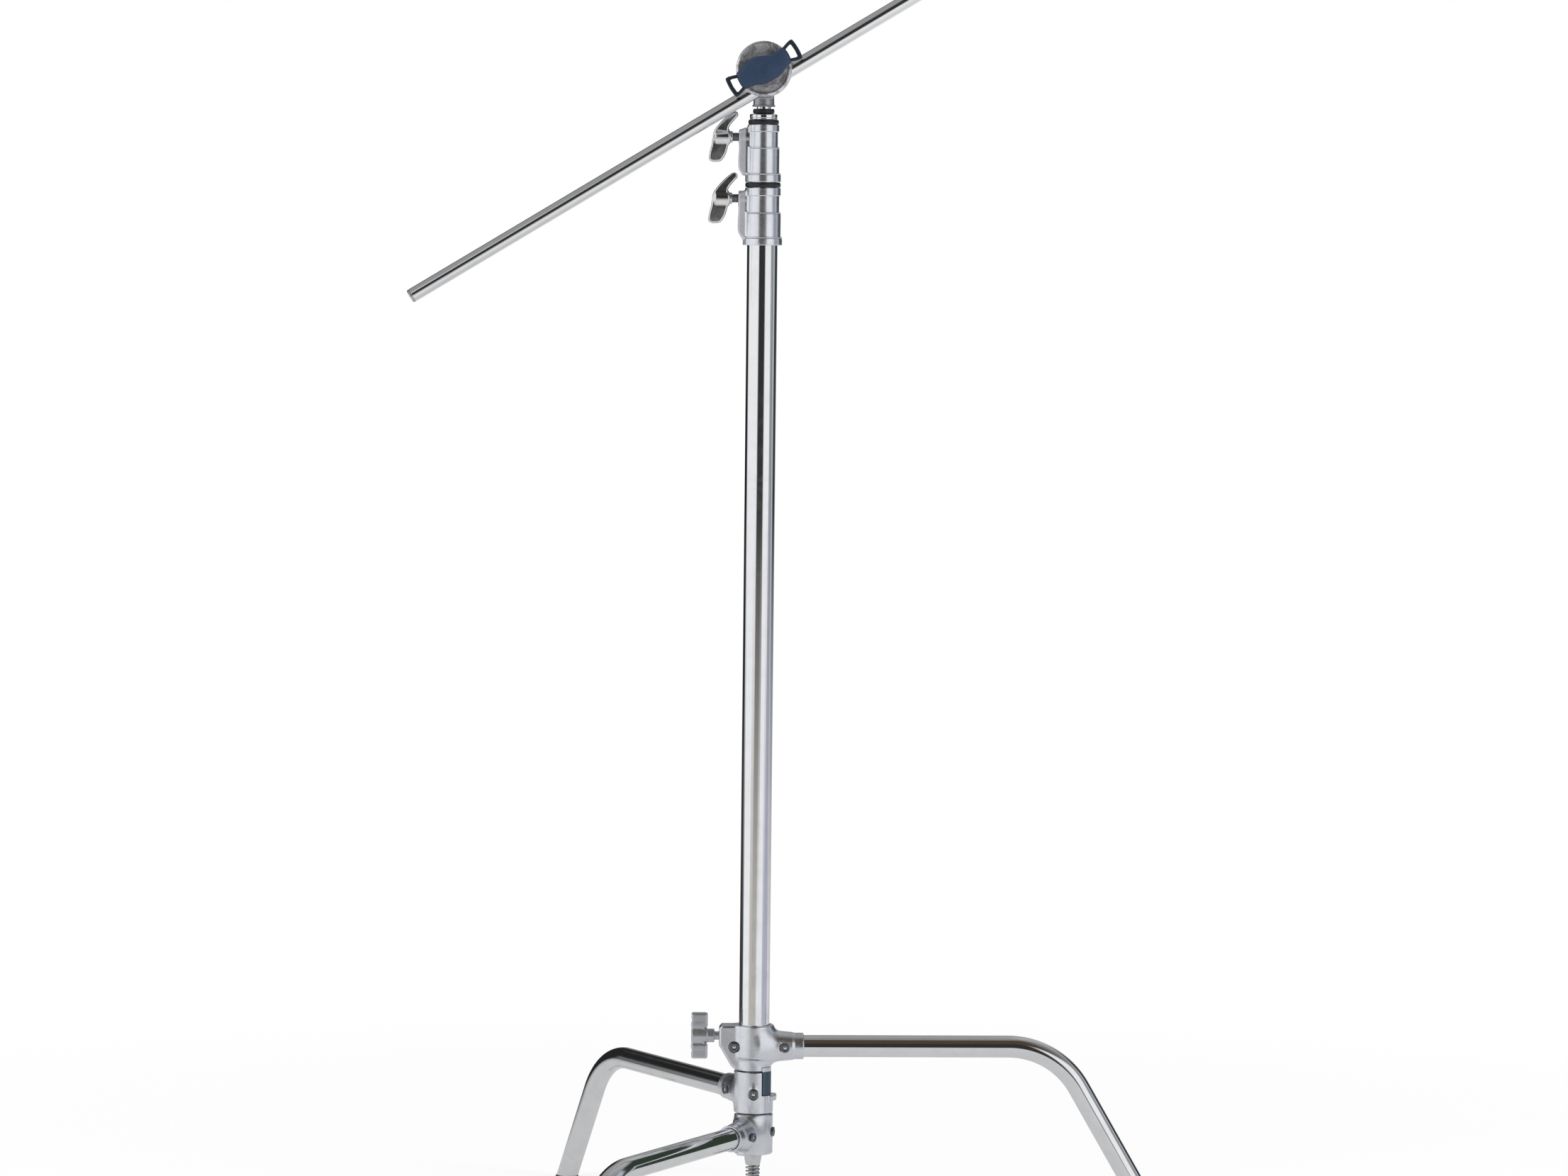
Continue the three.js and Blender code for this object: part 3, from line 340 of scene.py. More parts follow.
def plate(outline, origin, u, v, half, soft=0.8):
    """Distance to a plate: an outline in the plane of u and v, as thick as 2 * half, which may
    be a function of the two coordinates."""
    origin, w = np.asarray(origin, float), np.cross(u, v)

    def field(p):
        q = p - origin
        x, y = q @ u, q @ v
        thick = half(x, y) if callable(half) else half
        return softened(outline_distance(x, y, outline), np.abs(q @ w) - thick, soft)

    return field


def wedge(start, end, low, high, inner, outer):
    """Distance to a wedge of a ring about +Z between two angles less than half a turn apart."""
    first = np.array([math.sin(start), -math.cos(start), 0])
    last = np.array([-math.sin(end), math.cos(end), 0])

    def field(p):
        away = np.hypot(p[:, 0], p[:, 1])
        return np.max([p @ first, p @ last, low - p[:, 2], p[:, 2] - high, inner - away,
                       away - outer], axis=0)

    return field


def slab(low, high):
    """Distance to the space between two levels."""
    return lambda p: np.maximum(low - p[:, 2], p[:, 2] - high)


def merge(blend, *fields):
    """The union of shapes, with a fillet: min(a, b) less a quarter of blend where they meet."""
    def field(p):
        total = fields[0](p)
        for other in fields[1:]:
            b = other(p)
            h = np.clip(0.5 + 0.5 * (b - total) / blend, 0, 1)
            total = b + (total - b) * h - blend * h * (1 - h)
        return total

    return field


def common(blend, *fields):
    """What shapes share, with a rounded edge."""
    flipped = merge(blend, *[lambda p, f=f: -f(p) for f in fields])
    return lambda p: -flipped(p)


def carve(blend, whole, *tools):
    """The first shape without the others, with rounded edges."""
    return common(blend, whole, *[lambda p, f=f: -f(p) for f in tools])


def slope_of(field, p, step=0.03):
    """The field's gradient by central differences."""
    shifts = np.eye(3) * step
    return np.column_stack([(field(p + d) - field(p - d)) / (2 * step) for d in shifts])


def cast(field, low, high, cell=None):
    """Surface where a distance field is zero. The field is sampled on a grid, each cell that the
    surface crosses gets one point at the mean of its crossings, points of the four cells round
    a crossed edge make a face, and Newton steps p - f g / |g|^2 move the points onto zero."""
    cell = cell or bpy.context.scene.stand_sizes.casting_cell / MM
    low, high = np.asarray(low, float) - 2 * cell, np.asarray(high, float) + 2 * cell
    counts = np.ceil((high - low) / cell).astype(int) + 1
    axes = [low[k] + cell * np.arange(counts[k]) for k in range(3)]
    grid = np.stack(np.meshgrid(*axes, indexing="ij"), -1).reshape(-1, 3)
    batches = np.array_split(grid, 1 + len(grid) // 300000)
    value = np.concatenate([field(batch) for batch in batches]).reshape(counts)
    inside = value < 0
    total = np.zeros((*(counts - 1), 3))
    hits = np.zeros(counts - 1)
    faces = []
    crossings = []
    for k in range(3):
        here = tuple(slice(0, -1) if a == k else slice(None) for a in range(3))
        there = tuple(slice(1, None) if a == k else slice(None) for a in range(3))
        crossed = np.argwhere(inside[here] != inside[there])
        v0 = value[here][tuple(crossed.T)]
        v1 = value[there][tuple(crossed.T)]
        spot = low + crossed * cell
        spot[:, k] += cell * v0 / (v0 - v1)
        i, j = (k + 1) % 3, (k + 2) % 3
        for a in (0, 1):
            for b in (0, 1):
                to = crossed.copy()
                to[:, i] -= a
                to[:, j] -= b
                fits = ((to >= 0) & (to < counts - 1)).all(1)
                np.add.at(total, tuple(to[fits].T), spot[fits])
                np.add.at(hits, tuple(to[fits].T), 1)
        crossings.append((k, i, j, crossed, v0 < 0))
    index = np.full(counts - 1, -1)
    used = hits > 0
    index[used] = np.arange(used.sum())
    points = total[used] / hits[used][:, None]
    for k, i, j, crossed, leaves in crossings:
        inner = (crossed[:, i] > 0) & (crossed[:, j] > 0)
        inner &= (crossed[:, i] < counts[i] - 1) & (crossed[:, j] < counts[j] - 1)
        crossed, leaves = crossed[inner], leaves[inner]
        ring = []
        for a, b in ((1, 1), (0, 1), (0, 0), (1, 0)):
            to = crossed.copy()
            to[:, i] -= a
            to[:, j] -= b
            ring.append(index[tuple(to.T)])
        quad = np.stack(ring, -1)
        faces.append(np.where(leaves[:, None], quad, quad[:, ::-1]))
    for _ in range(3):
        gradient = slope_of(field, points)
        size = np.maximum((gradient ** 2).sum(1), 0.05)
        move = gradient * (field(points) / size)[:, None]
        length = np.linalg.norm(move, axis=1, keepdims=True)
        points -= move * np.minimum(1, 0.5 * cell / np.maximum(length, 1e-9))
    normals = slope_of(field, points)
    normals /= np.maximum(np.linalg.norm(normals, axis=1, keepdims=True), 1e-9)
    return points, normals, np.vstack(faces), np.zeros((0, 3), int)


def smooth_loop(points, steps=6):
    """A closed curve through points: Catmull-Rom, a cubic whose slope at each point is half the
    step between its neighbours."""
    p = np.asarray(points, float)
    before, after, second = np.roll(p, 1, 0), np.roll(p, -1, 0), np.roll(p, -2, 0)
    t = (np.arange(steps) / steps)[None, :, None]
    a, b, c, d = before[:, None], p[:, None], after[:, None], second[:, None]
    curve = 0.5 * (2 * b + (c - a) * t + (2 * a - 5 * b + 4 * c - d) * t ** 2
                   + (3 * b - a - 3 * c + d) * t ** 3)
    return curve.reshape(-1, 2)


def hexagon(r):
    """A six-sided outline with its corners at r from the centre."""
    turn = np.arange(6) * TURN / 6
    return np.column_stack([r * np.cos(turn), r * np.sin(turn)])


# ---------------------------------------------------------------- pieces

def piece(name, surface, body, slot, material, *nodes):
    """Puts a surface into a mesh in metres, rides it on its body and stands it for its nodes."""
    points, normals, quads, triangles = surface
    points = np.asarray(points) * MM + FOOT
    used = np.unique(np.concatenate([quads.ravel(), triangles.ravel()]))
    if not len(used):
        raise RuntimeError(f"{name} came out empty")
    index = np.full(len(points), -1)
    index[used] = np.arange(len(used))
    corners = np.concatenate([index[quads].ravel(), index[triangles].ravel()])
    sizes = np.concatenate([np.full(len(quads), 4), np.full(len(triangles), 3)])
    mesh = bpy.data.meshes.new(name)
    mesh.vertices.add(len(used))
    mesh.vertices.foreach_set("co", points[used].ravel())
    mesh.loops.add(len(corners))
    mesh.loops.foreach_set("vertex_index", corners)
    mesh.polygons.add(len(sizes))
    mesh.polygons.foreach_set("loop_start", np.concatenate([[0], np.cumsum(sizes)[:-1]]))
    mesh.polygons.foreach_set("loop_total", sizes)
    mesh.polygons.foreach_set("use_smooth", np.ones(len(sizes), bool))
    mesh.update(calc_edges=True)
    mesh.validate()
    mesh.normals_split_custom_set_from_vertices(normals[used])
    mesh.materials.append(bpy.data.materials[material])
    obj = bpy.data.objects.new(name, mesh)
    bpy.context.scene.collection.objects.link(obj)
    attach(obj, body)
    if nodes:
        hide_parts(*nodes)
    return obj


def cast_piece(name, field, node, body, slot, material, cell=None):
    """Casts a field inside a node's box and stands it for the node."""
    return piece(name, cast(field, *span(node), cell), body, slot, material, node)


def finish_node(node, material):
    """Gives its material to a node that stays."""
    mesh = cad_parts[node].data
    mesh.materials.clear()
    mesh.materials.append(bpy.data.materials[material])


# ---------------------------------------------------------------- materials

def group(name, inputs, outputs, build):
    """A shader node group that takes a place and named values, and puts out named values."""
    tree = bpy.data.node_groups.new(name, "ShaderNodeTree")
    tree.interface.new_socket("Vector", in_out="INPUT", socket_type="NodeSocketVector")
    for label, default in inputs.items():
        socket = tree.interface.new_socket(label, in_out="INPUT", socket_type="NodeSocketFloat")
        socket.default_value = default
    for label in outputs:
        tree.interface.new_socket(label, in_out="OUTPUT", socket_type="NodeSocketFloat")
    build(tree, tree.nodes.new("NodeGroupInput"), tree.nodes.new("NodeGroupOutput"))


def wire(tree, source, target):
    """Joins an output to an input."""
    tree.links.new(source, target)


def feed(tree, socket, value):
    """Wires an output into a socket, or sets a plain value on it."""
    if isinstance(value, bpy.types.NodeSocket):
        wire(tree, value, socket)
    else:
        socket.default_value = value


def noise_of(tree, coordinate, scale, detail=3.0, rough=0.55, distortion=0.0):
    """The value of a noise texture on a coordinate."""
    made = tree.nodes.new("ShaderNodeTexNoise")
    for label, value in (("Vector", coordinate), ("Scale", scale), ("Detail", detail),
                         ("Roughness", rough), ("Distortion", distortion)):
        feed(tree, made.inputs[label], value)
    return made.outputs["Fac"]


def remap(tree, value, low, high, out_low, out_high):
    """A value moved from one range to another, clamped."""
    made = tree.nodes.new("ShaderNodeMapRange")
    for label, number in (("Value", value), ("From Min", low), ("From Max", high),
                          ("To Min", out_low), ("To Max", out_high)):
        feed(tree, made.inputs[label], number)
    return made.outputs["Result"]


def maths(tree, operation, *values):
    """One Math node."""
    made = tree.nodes.new("ShaderNodeMath")
    made.operation = operation
    for socket, value in zip(made.inputs, values):
        feed(tree, socket, value)
    return made.outputs["Value"]


def colour_mix(tree, factor, first, second):
    """One colour Mix node, in which a number stands for a grey."""
    made = tree.nodes.new("ShaderNodeMix")
    made.data_type = "RGBA"
    wire(tree, factor, made.inputs["Factor"])
    for socket, value in ((made.inputs[6], first), (made.inputs[7], second)):
        if isinstance(value, float):
            value = (value, value, value)
        feed(tree, socket, (*value, 1) if isinstance(value, tuple) else value)
    return made.outputs[2]


def build_handling_marks(tree, given, out):
    """Smudges and fine scratches: a broad noise, and one stretched along Z."""
    place = given.outputs["Vector"]
    smudge = noise_of(tree, place, given.outputs["Smudge Scale"], 4.0, 0.6, 0.6)
    stretch = tree.nodes.new("ShaderNodeMapping")
    stretch.inputs["Scale"].default_value = (1.0, 1.0, 0.05)
    stretch.inputs["Rotation"].default_value = (0.4, 0.25, 0.0)
    wire(tree, place, stretch.inputs["Vector"])
    scratch = noise_of(tree, stretch.outputs["Vector"], 1400.0, 2.0, 0.7)
    lines = remap(tree, scratch, 0.66, 0.74, 0.0, 1.0)
    cloud = remap(tree, smudge, 0.42, 0.72, 0.0, 1.0)
    wire(tree, cloud, out.inputs["Smudge"])
    wire(tree, lines, out.inputs["Scratch"])
    both = maths(tree, "MAXIMUM", cloud, maths(tree, "MULTIPLY", lines, 0.7))
    rough = remap(tree, both, 0.0, 1.0, given.outputs["Low"], given.outputs["High"])
    wire(tree, rough, out.inputs["Roughness"])


def build_cast_skin(tree, given, out):
    """The skin of a tumbled casting: soft hollows, fine pits and a slow change of tone."""
    place = given.outputs["Vector"]
    broad = noise_of(tree, place, 55.0, 2.0)
    fine = noise_of(tree, place, given.outputs["Grain"], 4.0, 0.65)
    pits = tree.nodes.new("ShaderNodeTexVoronoi")
    pits.inputs["Scale"].default_value = 420.0
    wire(tree, place, pits.inputs["Vector"])
    hollow = remap(tree, pits.outputs["Distance"], 0.0, 0.16, -0.5, 0.0)
    height = maths(tree, "ADD", maths(tree, "MULTIPLY", broad, 1.4),
                   maths(tree, "ADD", maths(tree, "MULTIPLY", fine, 0.45), hollow))
    wire(tree, height, out.inputs["Height"])
    wire(tree, remap(tree, broad, 0.3, 0.7, 0.0, 1.0), out.inputs["Tone"])
    rough = remap(tree, fine, 0.3, 0.7, given.outputs["Low"], given.outputs["High"])
    wire(tree, rough, out.inputs["Roughness"])


def build_edge_wear(tree, given, out):
    """Worn edges: where the surface is pointed, broken up by noise."""
    shape = tree.nodes.new("ShaderNodeNewGeometry")
    bend = remap(tree, shape.outputs["Pointiness"], 0.505, 0.56, 0.0, 1.0)
    patch = noise_of(tree, given.outputs["Vector"], 320.0, 4.0, 0.7)
    broken = remap(tree, patch, 0.4, 0.62, 0.0, 1.0)
    mask = maths(tree, "MULTIPLY", maths(tree, "MULTIPLY", bend, broken), given.outputs["Amount"])
    wire(tree, mask, out.inputs["Mask"])


def build_dust(tree, given, out):
    """Dust: a soft speckle that gathers on faces that look up."""
    shape = tree.nodes.new("ShaderNodeNewGeometry")
    parts = tree.nodes.new("ShaderNodeSeparateXYZ")
    wire(tree, shape.outputs["Normal"], parts.inputs["Vector"])
    upward = remap(tree, parts.outputs["Z"], 0.2, 1.0, 0.25, 1.0)
    speck = noise_of(tree, given.outputs["Vector"], 900.0, 5.0, 0.75)
    grains = remap(tree, speck, 0.52, 0.7, 0.0, 1.0)
    mask = maths(tree, "MULTIPLY", maths(tree, "MULTIPLY", upward, grains), given.outputs["Amount"])
    wire(tree, mask, out.inputs["Mask"])


EFFECTS = (
    ("Handling Marks", {"Smudge Scale": 60.0, "Low": 0.05, "High": 0.2},
     ("Roughness", "Smudge", "Scratch"), build_handling_marks),
    ("Cast Skin", {"Grain": 260.0, "Low": 0.2, "High": 0.34},
     ("Roughness", "Tone", "Height"), build_cast_skin),
    ("Edge Wear", {"Amount": 0.6}, ("Mask",), build_edge_wear),
    ("Dust", {"Amount": 0.3}, ("Mask",), build_dust),
)


class Finish:
    """A material under construction: its shader, its object coordinate and helpers."""

    def __init__(self, name, **shader):
        self.material = bpy.data.materials.new(name)
        self.material.use_nodes = True
        self.tree = self.material.node_tree
        self.shader = self.tree.nodes["Principled BSDF"]
        for label, value in shader.items():
            self.shader.inputs[label.replace("_", " ")].default_value = value
        self.place = self.tree.nodes.new("ShaderNodeTexCoord").outputs["Object"]

    def effect(self, name, **values):
        """Places an effect with its own values."""
        made = self.tree.nodes.new("ShaderNodeGroup")
        made.node_tree = bpy.data.node_groups[name]
        wire(self.tree, self.place, made.inputs["Vector"])
        for label, value in values.items():
            made.inputs[label.replace("_", " ")].default_value = value
        return made.outputs

    def mix(self, factor, first, second):
        """Mixes two colours."""
        return colour_mix(self.tree, factor, first, second)

    def colour(self, output):
        """Sets what colours the surface."""
        wire(self.tree, output, self.shader.inputs["Base Color"])

    def roughness(self, output):
        """Sets what roughens the surface."""
        wire(self.tree, output, self.shader.inputs["Roughness"])

    def bump(self, height, distance, strength=1.0):
        """Bends the surface's normal by a height, which is scaled to a distance in metres."""
        made = self.tree.nodes.new("ShaderNodeBump")
        made.inputs["Distance"].default_value = distance
        made.inputs["Strength"].default_value = strength
        wire(self.tree, height, made.inputs["Height"])
        wire(self.tree, made.outputs["Normal"], self.shader.inputs["Normal"])

    def about_column(self):
        """How far a point is to the left of the column's axis, how far out, and its height."""
        moved = self.tree.nodes.new("ShaderNodeVectorMath")
        moved.operation = "SUBTRACT"
        moved.inputs[1].default_value = tuple(FOOT)
        wire(self.tree, self.place, moved.inputs[0])
        parts = self.tree.nodes.new("ShaderNodeSeparateXYZ")
        wire(self.tree, moved.outputs["Vector"], parts.inputs["Vector"])
        left = maths(self.tree, "MULTIPLY", parts.outputs["X"], -1.0)
        squares = [maths(self.tree, "MULTIPLY", way, way) for way in (left, parts.outputs["Y"])]
        out = maths(self.tree, "SQRT", maths(self.tree, "ADD", *squares))
        return left, out, parts.outputs["Z"]


def scaled(colour, factor):
    """A colour made lighter or darker."""
    return tuple(min(1.0, c * factor) for c in colour)


def plated(name, colour, low, high, smudge=45.0):
    """Bright plate: smudged, finely scratched metal."""
    finish = Finish(name, Metallic=1.0)
    marks = finish.effect("Handling Marks", Smudge_Scale=smudge, Low=low, High=high)
    dust = finish.effect("Dust", Amount=0.06)
    tone = finish.mix(marks["Smudge"], colour, scaled(colour, 0.94))
    finish.colour(finish.mix(dust["Mask"], tone, scaled(colour, 0.8)))
    finish.roughness(marks["Roughness"])
    finish.bump(marks["Scratch"], 0.000006, 0.5)


def cast_metal(name, colour, low, high, grain, relief, satin_from=None, shade_below=None,
               shade_reach=0.0195):
    """Cast and tumbled metal with a softly uneven skin. Its lug, further left than satin_from, is
    satin. Below a given level and within a given reach of the column's axis the colour is a
    painted shade of dark blue-grey, on the recesses and bores of the hubs and on the stop tab."""
    finish = Finish(name, Metallic=1.0)
    tree = finish.tree
    skin = finish.effect("Cast Skin", Grain=grain, Low=low, High=high)
    wear = finish.effect("Edge Wear", Amount=0.7)
    tone = finish.mix(skin["Tone"], scaled(colour, 0.95), scaled(colour, 1.04))
    tone = finish.mix(wear["Mask"], tone, scaled(colour, 1.15))
    rough = skin["Roughness"]
    if satin_from or shade_below:
        left, out, height = finish.about_column()
    if satin_from:
        lug = remap(tree, left, satin_from, satin_from + 0.0015, 0.0, 1.0)
        rough = maths(tree, "ADD", rough, maths(tree, "MULTIPLY", lug, 0.34))
    # Painted shade: dark blue-grey below a level and near the column's axis.
    if shade_below:
        inward = remap(tree, out, shade_reach, shade_reach + 0.0004, 1.0, 0.0)
        below = remap(tree, height, shade_below, shade_below + 0.0004, 1.0, 0.0)
        tone = finish.mix(maths(tree, "MULTIPLY", inward, below), tone, (0.09, 0.125, 0.16))
    finish.colour(tone)
    finish.roughness(rough)
    finish.bump(skin["Height"], relief)


def worn_disc(name, colour):
    """The grip discs: plate mottled by use, in dark and light patches, brighter at its edges."""
    finish = Finish(name, Metallic=1.0)
    tree = finish.tree
    patches = noise_of(tree, finish.place, 62.0, 6.0, 0.66, 1.2)
    mottle = remap(tree, patches, 0.44, 0.57, 0.0, 1.0)
    fine = noise_of(tree, finish.place, 420.0, 4.0, 0.7)
    grain = remap(tree, fine, 0.35, 0.65, 0.0, 0.5)
    base = finish.mix(mottle, scaled(colour, 0.42), scaled(colour, 1.5))
    wear = finish.effect("Edge Wear", Amount=1.0)
    tone = finish.mix(grain, base, scaled(colour, 0.85))
    finish.colour(finish.mix(wear["Mask"], tone, scaled(colour, 1.7)))
    finish.roughness(remap(tree, patches, 0.3, 0.7, 0.5, 0.3))
    finish.bump(fine, 0.0002)


def moulded(name, colour, low, high, grain, relief, dusty, coat=0.0):
    """Moulded rubber or plastic: fine grain, dust, and paler worn edges."""
    finish = Finish(name, Specular_IOR_Level=0.4, Coat_Weight=coat, Coat_Roughness=0.35)
    tree = finish.tree
    fine = noise_of(tree, finish.place, grain, 5.0, 0.6)
    broad = noise_of(tree, finish.place, 38.0, 3.0, 0.5)
    wear = finish.effect("Edge Wear", Amount=0.8)
    dust = finish.effect("Dust", Amount=dusty)
    spread = remap(tree, broad, 0.3, 0.7, 0.0, 1.0)
    tone = finish.mix(spread, scaled(colour, 0.85), scaled(colour, 1.18))
    pale = tuple(0.75 * c + 0.06 for c in colour)
    worn = finish.mix(wear["Mask"], tone, pale)
    finish.colour(finish.mix(dust["Mask"], worn, tuple(0.6 * c + 0.09 for c in colour)))
    finish.roughness(remap(tree, fine, 0.3, 0.7, low, high))
    finish.bump(fine, relief)


def pressed_fibre(name, colour):
    """Pressed friction fibre: short flecks in a dark binder."""
    finish = Finish(name)
    cells = finish.tree.nodes.new("ShaderNodeTexVoronoi")
    cells.inputs["Scale"].default_value = 700.0
    wire(finish.tree, finish.place, cells.inputs["Vector"])
    flecks = remap(finish.tree, cells.outputs["Distance"], 0.1, 0.6, 1.0, 0.0)
    finish.colour(finish.mix(flecks, colour, scaled(colour, 2.2)))
    finish.roughness(remap(finish.tree, cells.outputs["Distance"], 0.0, 0.7, 0.7, 0.95))
    finish.bump(cells.outputs["Distance"], 0.0001)


class STAND_OT_finishes(bpy.types.Operator):
    """Makes the materials and gives the nodes inside the stand theirs"""
    bl_idname = "stand.finishes"
    bl_label = "Finishes"

    def execute(self, context):
        colours = context.scene.stand_colours
        chrome = tuple(colours.chrome)
        casting = tuple(colours.casting)
        for effect in EFFECTS:
            group(*effect)
        plated("chrome_plate", chrome, 0.045, 0.11)
        plated("screw_plate", scaled(chrome, 0.86), 0.13, 0.24, 90.0)
        plated("zinc_plate", scaled(chrome, 0.72), 0.24, 0.42, 120.0)
        plated("turned_brass", (0.62, 0.43, 0.17), 0.2, 0.35, 90.0)
        plated("screw_black", (0.20, 0.21, 0.23), 0.22, 0.36, 120.0)
        # Painted shade on the hubs: dark blue-grey below the top hub's base and near the axis, in
        # their recesses and bores; on the top hub it covers the whole stop tab.
        below = TOP_BASE * MM
        cast_metal("hub_casting", casting, 0.24, 0.36, 300.0, 0.00009, shade_below=below)
        cast_metal("top_hub_casting", casting, 0.24, 0.36, 300.0, 0.00009, shade_below=below,
                   shade_reach=0.05)
        cast_metal("collar_casting", casting, 0.19, 0.27, 380.0, 0.00004, satin_from=0.0193)
        cast_metal("knob_casting", scaled(casting, 0.82), 0.36, 0.5, 420.0, 0.00009)
        cast_metal("head_casting", scaled(casting, 0.5), 0.32, 0.45, 380.0, 0.00008)
        worn_disc("grip_disc", tuple(colours.disc))
        moulded("sole_rubber", tuple(colours.rubber), 0.55, 0.75, 650.0, 0.00018, 0.5)
        moulded("ring_rubber", scaled(colours.rubber, 0.8), 0.32, 0.5, 500.0, 0.00008, 0.15, 0.1)
        moulded("handle_shell", tuple(colours.handle), 0.42, 0.58, 520.0, 0.00010, 0.35, 0.12)
        moulded("handle_loop", scaled(colours.handle, 0.28), 0.36, 0.5, 520.0, 0.00008, 0.2, 0.1)
        moulded("bush_nylon", (0.75, 0.74, 0.68), 0.35, 0.5, 300.0, 0.00005, 0.1)
        pressed_fibre("friction_fibre", (0.045, 0.03, 0.022))
        for material, nodes in (
                ("zinc_plate", ("centre_post", "column_plug")),
                ("bush_nylon", ("lower_bush", "upper_bush", "riser_2_shoe", "riser_3_shoe")),
                ("turned_brass", ("base_knob_pad", "lower_screw_pad", "upper_screw_pad",
                                  "head_lock_pad"))):
            for node in nodes:
                finish_node(node, material)
        return {"FINISHED"}


# ---------------------------------------------------------------- hubs

def leg_out(name):
    """The level direction in which a leg leaves its hub."""
    return level_way(LEG_ANGLES[name])


def on_leg(name, along):
    """A point on a leg's level centre line."""
    return leg_out(name) * along + UP * LEG_HEIGHTS[name]


def leg_socket(name):
    """A socket that flares into its hub, with a softly raised rim at its mouth."""
    return merge(2.5, rod(on_leg(name, 4), on_leg(name, 46), 20.6, 15.6, 3.0),
                 rod(on_leg(name, 20), on_leg(name, SOCKET_END), 15.3, soft=1.4))


def socket_bore(name):
    """The hole that the leg's tube fills."""
    return rod(on_leg(name, 27.7), on_leg(name, SOCKET_END + 4), 13.0, soft=0.3)


def screw_spot(name):
    """The seat of a leg's set screw, and the way that it faces."""
    if name == "top":
        return on_leg(name, 36.0) + FRONT * SEAT_OUT, FRONT
    x, y, _ = leg_out(name)
    facing = np.array([y, -x, 0]) if name == "mid" else np.array([-y, x, 0])
    return on_leg(name, 33.0) + facing * SEAT_OUT, facing


def screw_seat(point, facing, shank):
    """What is cut away for a set screw: a flat seat with its hole."""
    return merge(0.3, rod(point, point + facing * 14, 6.2, soft=0.3),
                 rod(point - facing * (shank + 2), point + facing, 3.3, soft=0.2))


def recess(start, drop, top):
    """The recess that a stop tab swings in."""
    return wedge(math.radians(start - 2), math.radians(start + TAB_SPAN + LEG_SWING + 2),
                 top - drop - 0.3, top + 4, HUB_R - 3.7, HUB_R * 2)


def stop_tab(start, drop, top):
    """A stop tab below a hub."""
    return common(0.8, wedge(math.radians(start), math.radians(start + TAB_SPAN), top - drop,
                             top + 5, HUB_R - 3.4, HUB_R - 0.3))


# The other set screws: each one's seat, and the way that it faces.
POST_WAY = level_way(math.radians(-8))
POST_SCREW = (POST_WAY * (HUB_R - 1) + UP * (HUB_BOTTOM + 25.9), POST_WAY)
LUG_SCREW = (np.array([-22.8, -11.0, LEG_HEIGHTS["top"]]), FRONT)
FRONT_SCREW = (np.array([0, -21.8, LEG_HEIGHTS["mid"] + 0.8]), FRONT)
SIDE_SCREW = (on_leg("mid", 34) - screw_spot("mid")[1] * SEAT_OUT, -screw_spot("mid")[1])


def hub_body(name, barrel, bottom, top, edge=1.2):
    """A barrel joined to its leg's socket by a fillet, and cut off level at both ends."""
    blend = bpy.context.scene.stand_sizes.casting_blend / MM
    return common(edge, merge(blend, barrel, leg_socket(name)), slab(bottom, top))


def low_hub():
    """Barrel and socket, less the bores, the screw seats and the recess of the middle hub's tab."""
    barrel = rod(UP * HUB_BOTTOM, UP * LOW_TOP, HUB_R, soft=2.4)
    body = hub_body("low", barrel, HUB_BOTTOM, LOW_TOP)
    foot = block((-19, -25.5, HUB_BOTTOM), (-9, -16, HUB_BOTTOM + 3.4), 1.2)
    return carve(0.7, merge(1.6, body, common(0.8, foot, rod(UP * 90, UP * 120, HUB_R + 3))),
                 rod(UP * 80, UP * LOW_TOP, STEM_BORE),
                 rod(UP * (HUB_BOTTOM + 6), UP * 260, POST_R, soft=0.3), socket_bore("low"),
                 screw_seat(*screw_spot("low"), 3.6), screw_seat(*POST_SCREW, 5.6),
                 recess(40, 12, LOW_TOP))


def mid_hub():
    """Barrel, socket, front pad, ledge and tab, less the bores, the screw seats, the slit and the
    recess of the top hub's tab."""
    barrel = rod(UP * MID_BASE, UP * MID_TOP, HUB_R, soft=1.2)
    body = hub_body("mid", barrel, MID_BASE, MID_TOP)
    ledge_top = MID_TOP - 27.6
    ledge = common(1.0, wedge(math.radians(-38), math.radians(26), ledge_top - 6, ledge_top, 18,
                              HUB_R + 4))
    level = FRONT_SCREW[0][2]
    pad = merge(2.0, rod((0, -16.4, MID_BASE + 3), (0, -17.4, level), 5.6, 7.2, 1.5),
                rod((0, -17.4, level), (0.4, -15.4, MID_TOP - 4), 7.2, 4.6, 1.5))
    slit = block((13.4, -26, MID_BASE - 1), (14.0, -16.6, MID_BASE + 21), 0.1)
    carved = carve(0.7, merge(2.0, merge(1.2, body, pad), ledge),
                   rod(UP * 100, UP * 260, POST_R, soft=0.3), socket_bore("mid"),
                   screw_seat(*screw_spot("mid"), 3.6), recess(-62, 27, MID_TOP),
                   screw_seat(*SIDE_SCREW, 3.6), screw_seat(*FRONT_SCREW, 3.0), slit)
    return merge(0.6, carved, stop_tab(40, 12, LOW_TOP))


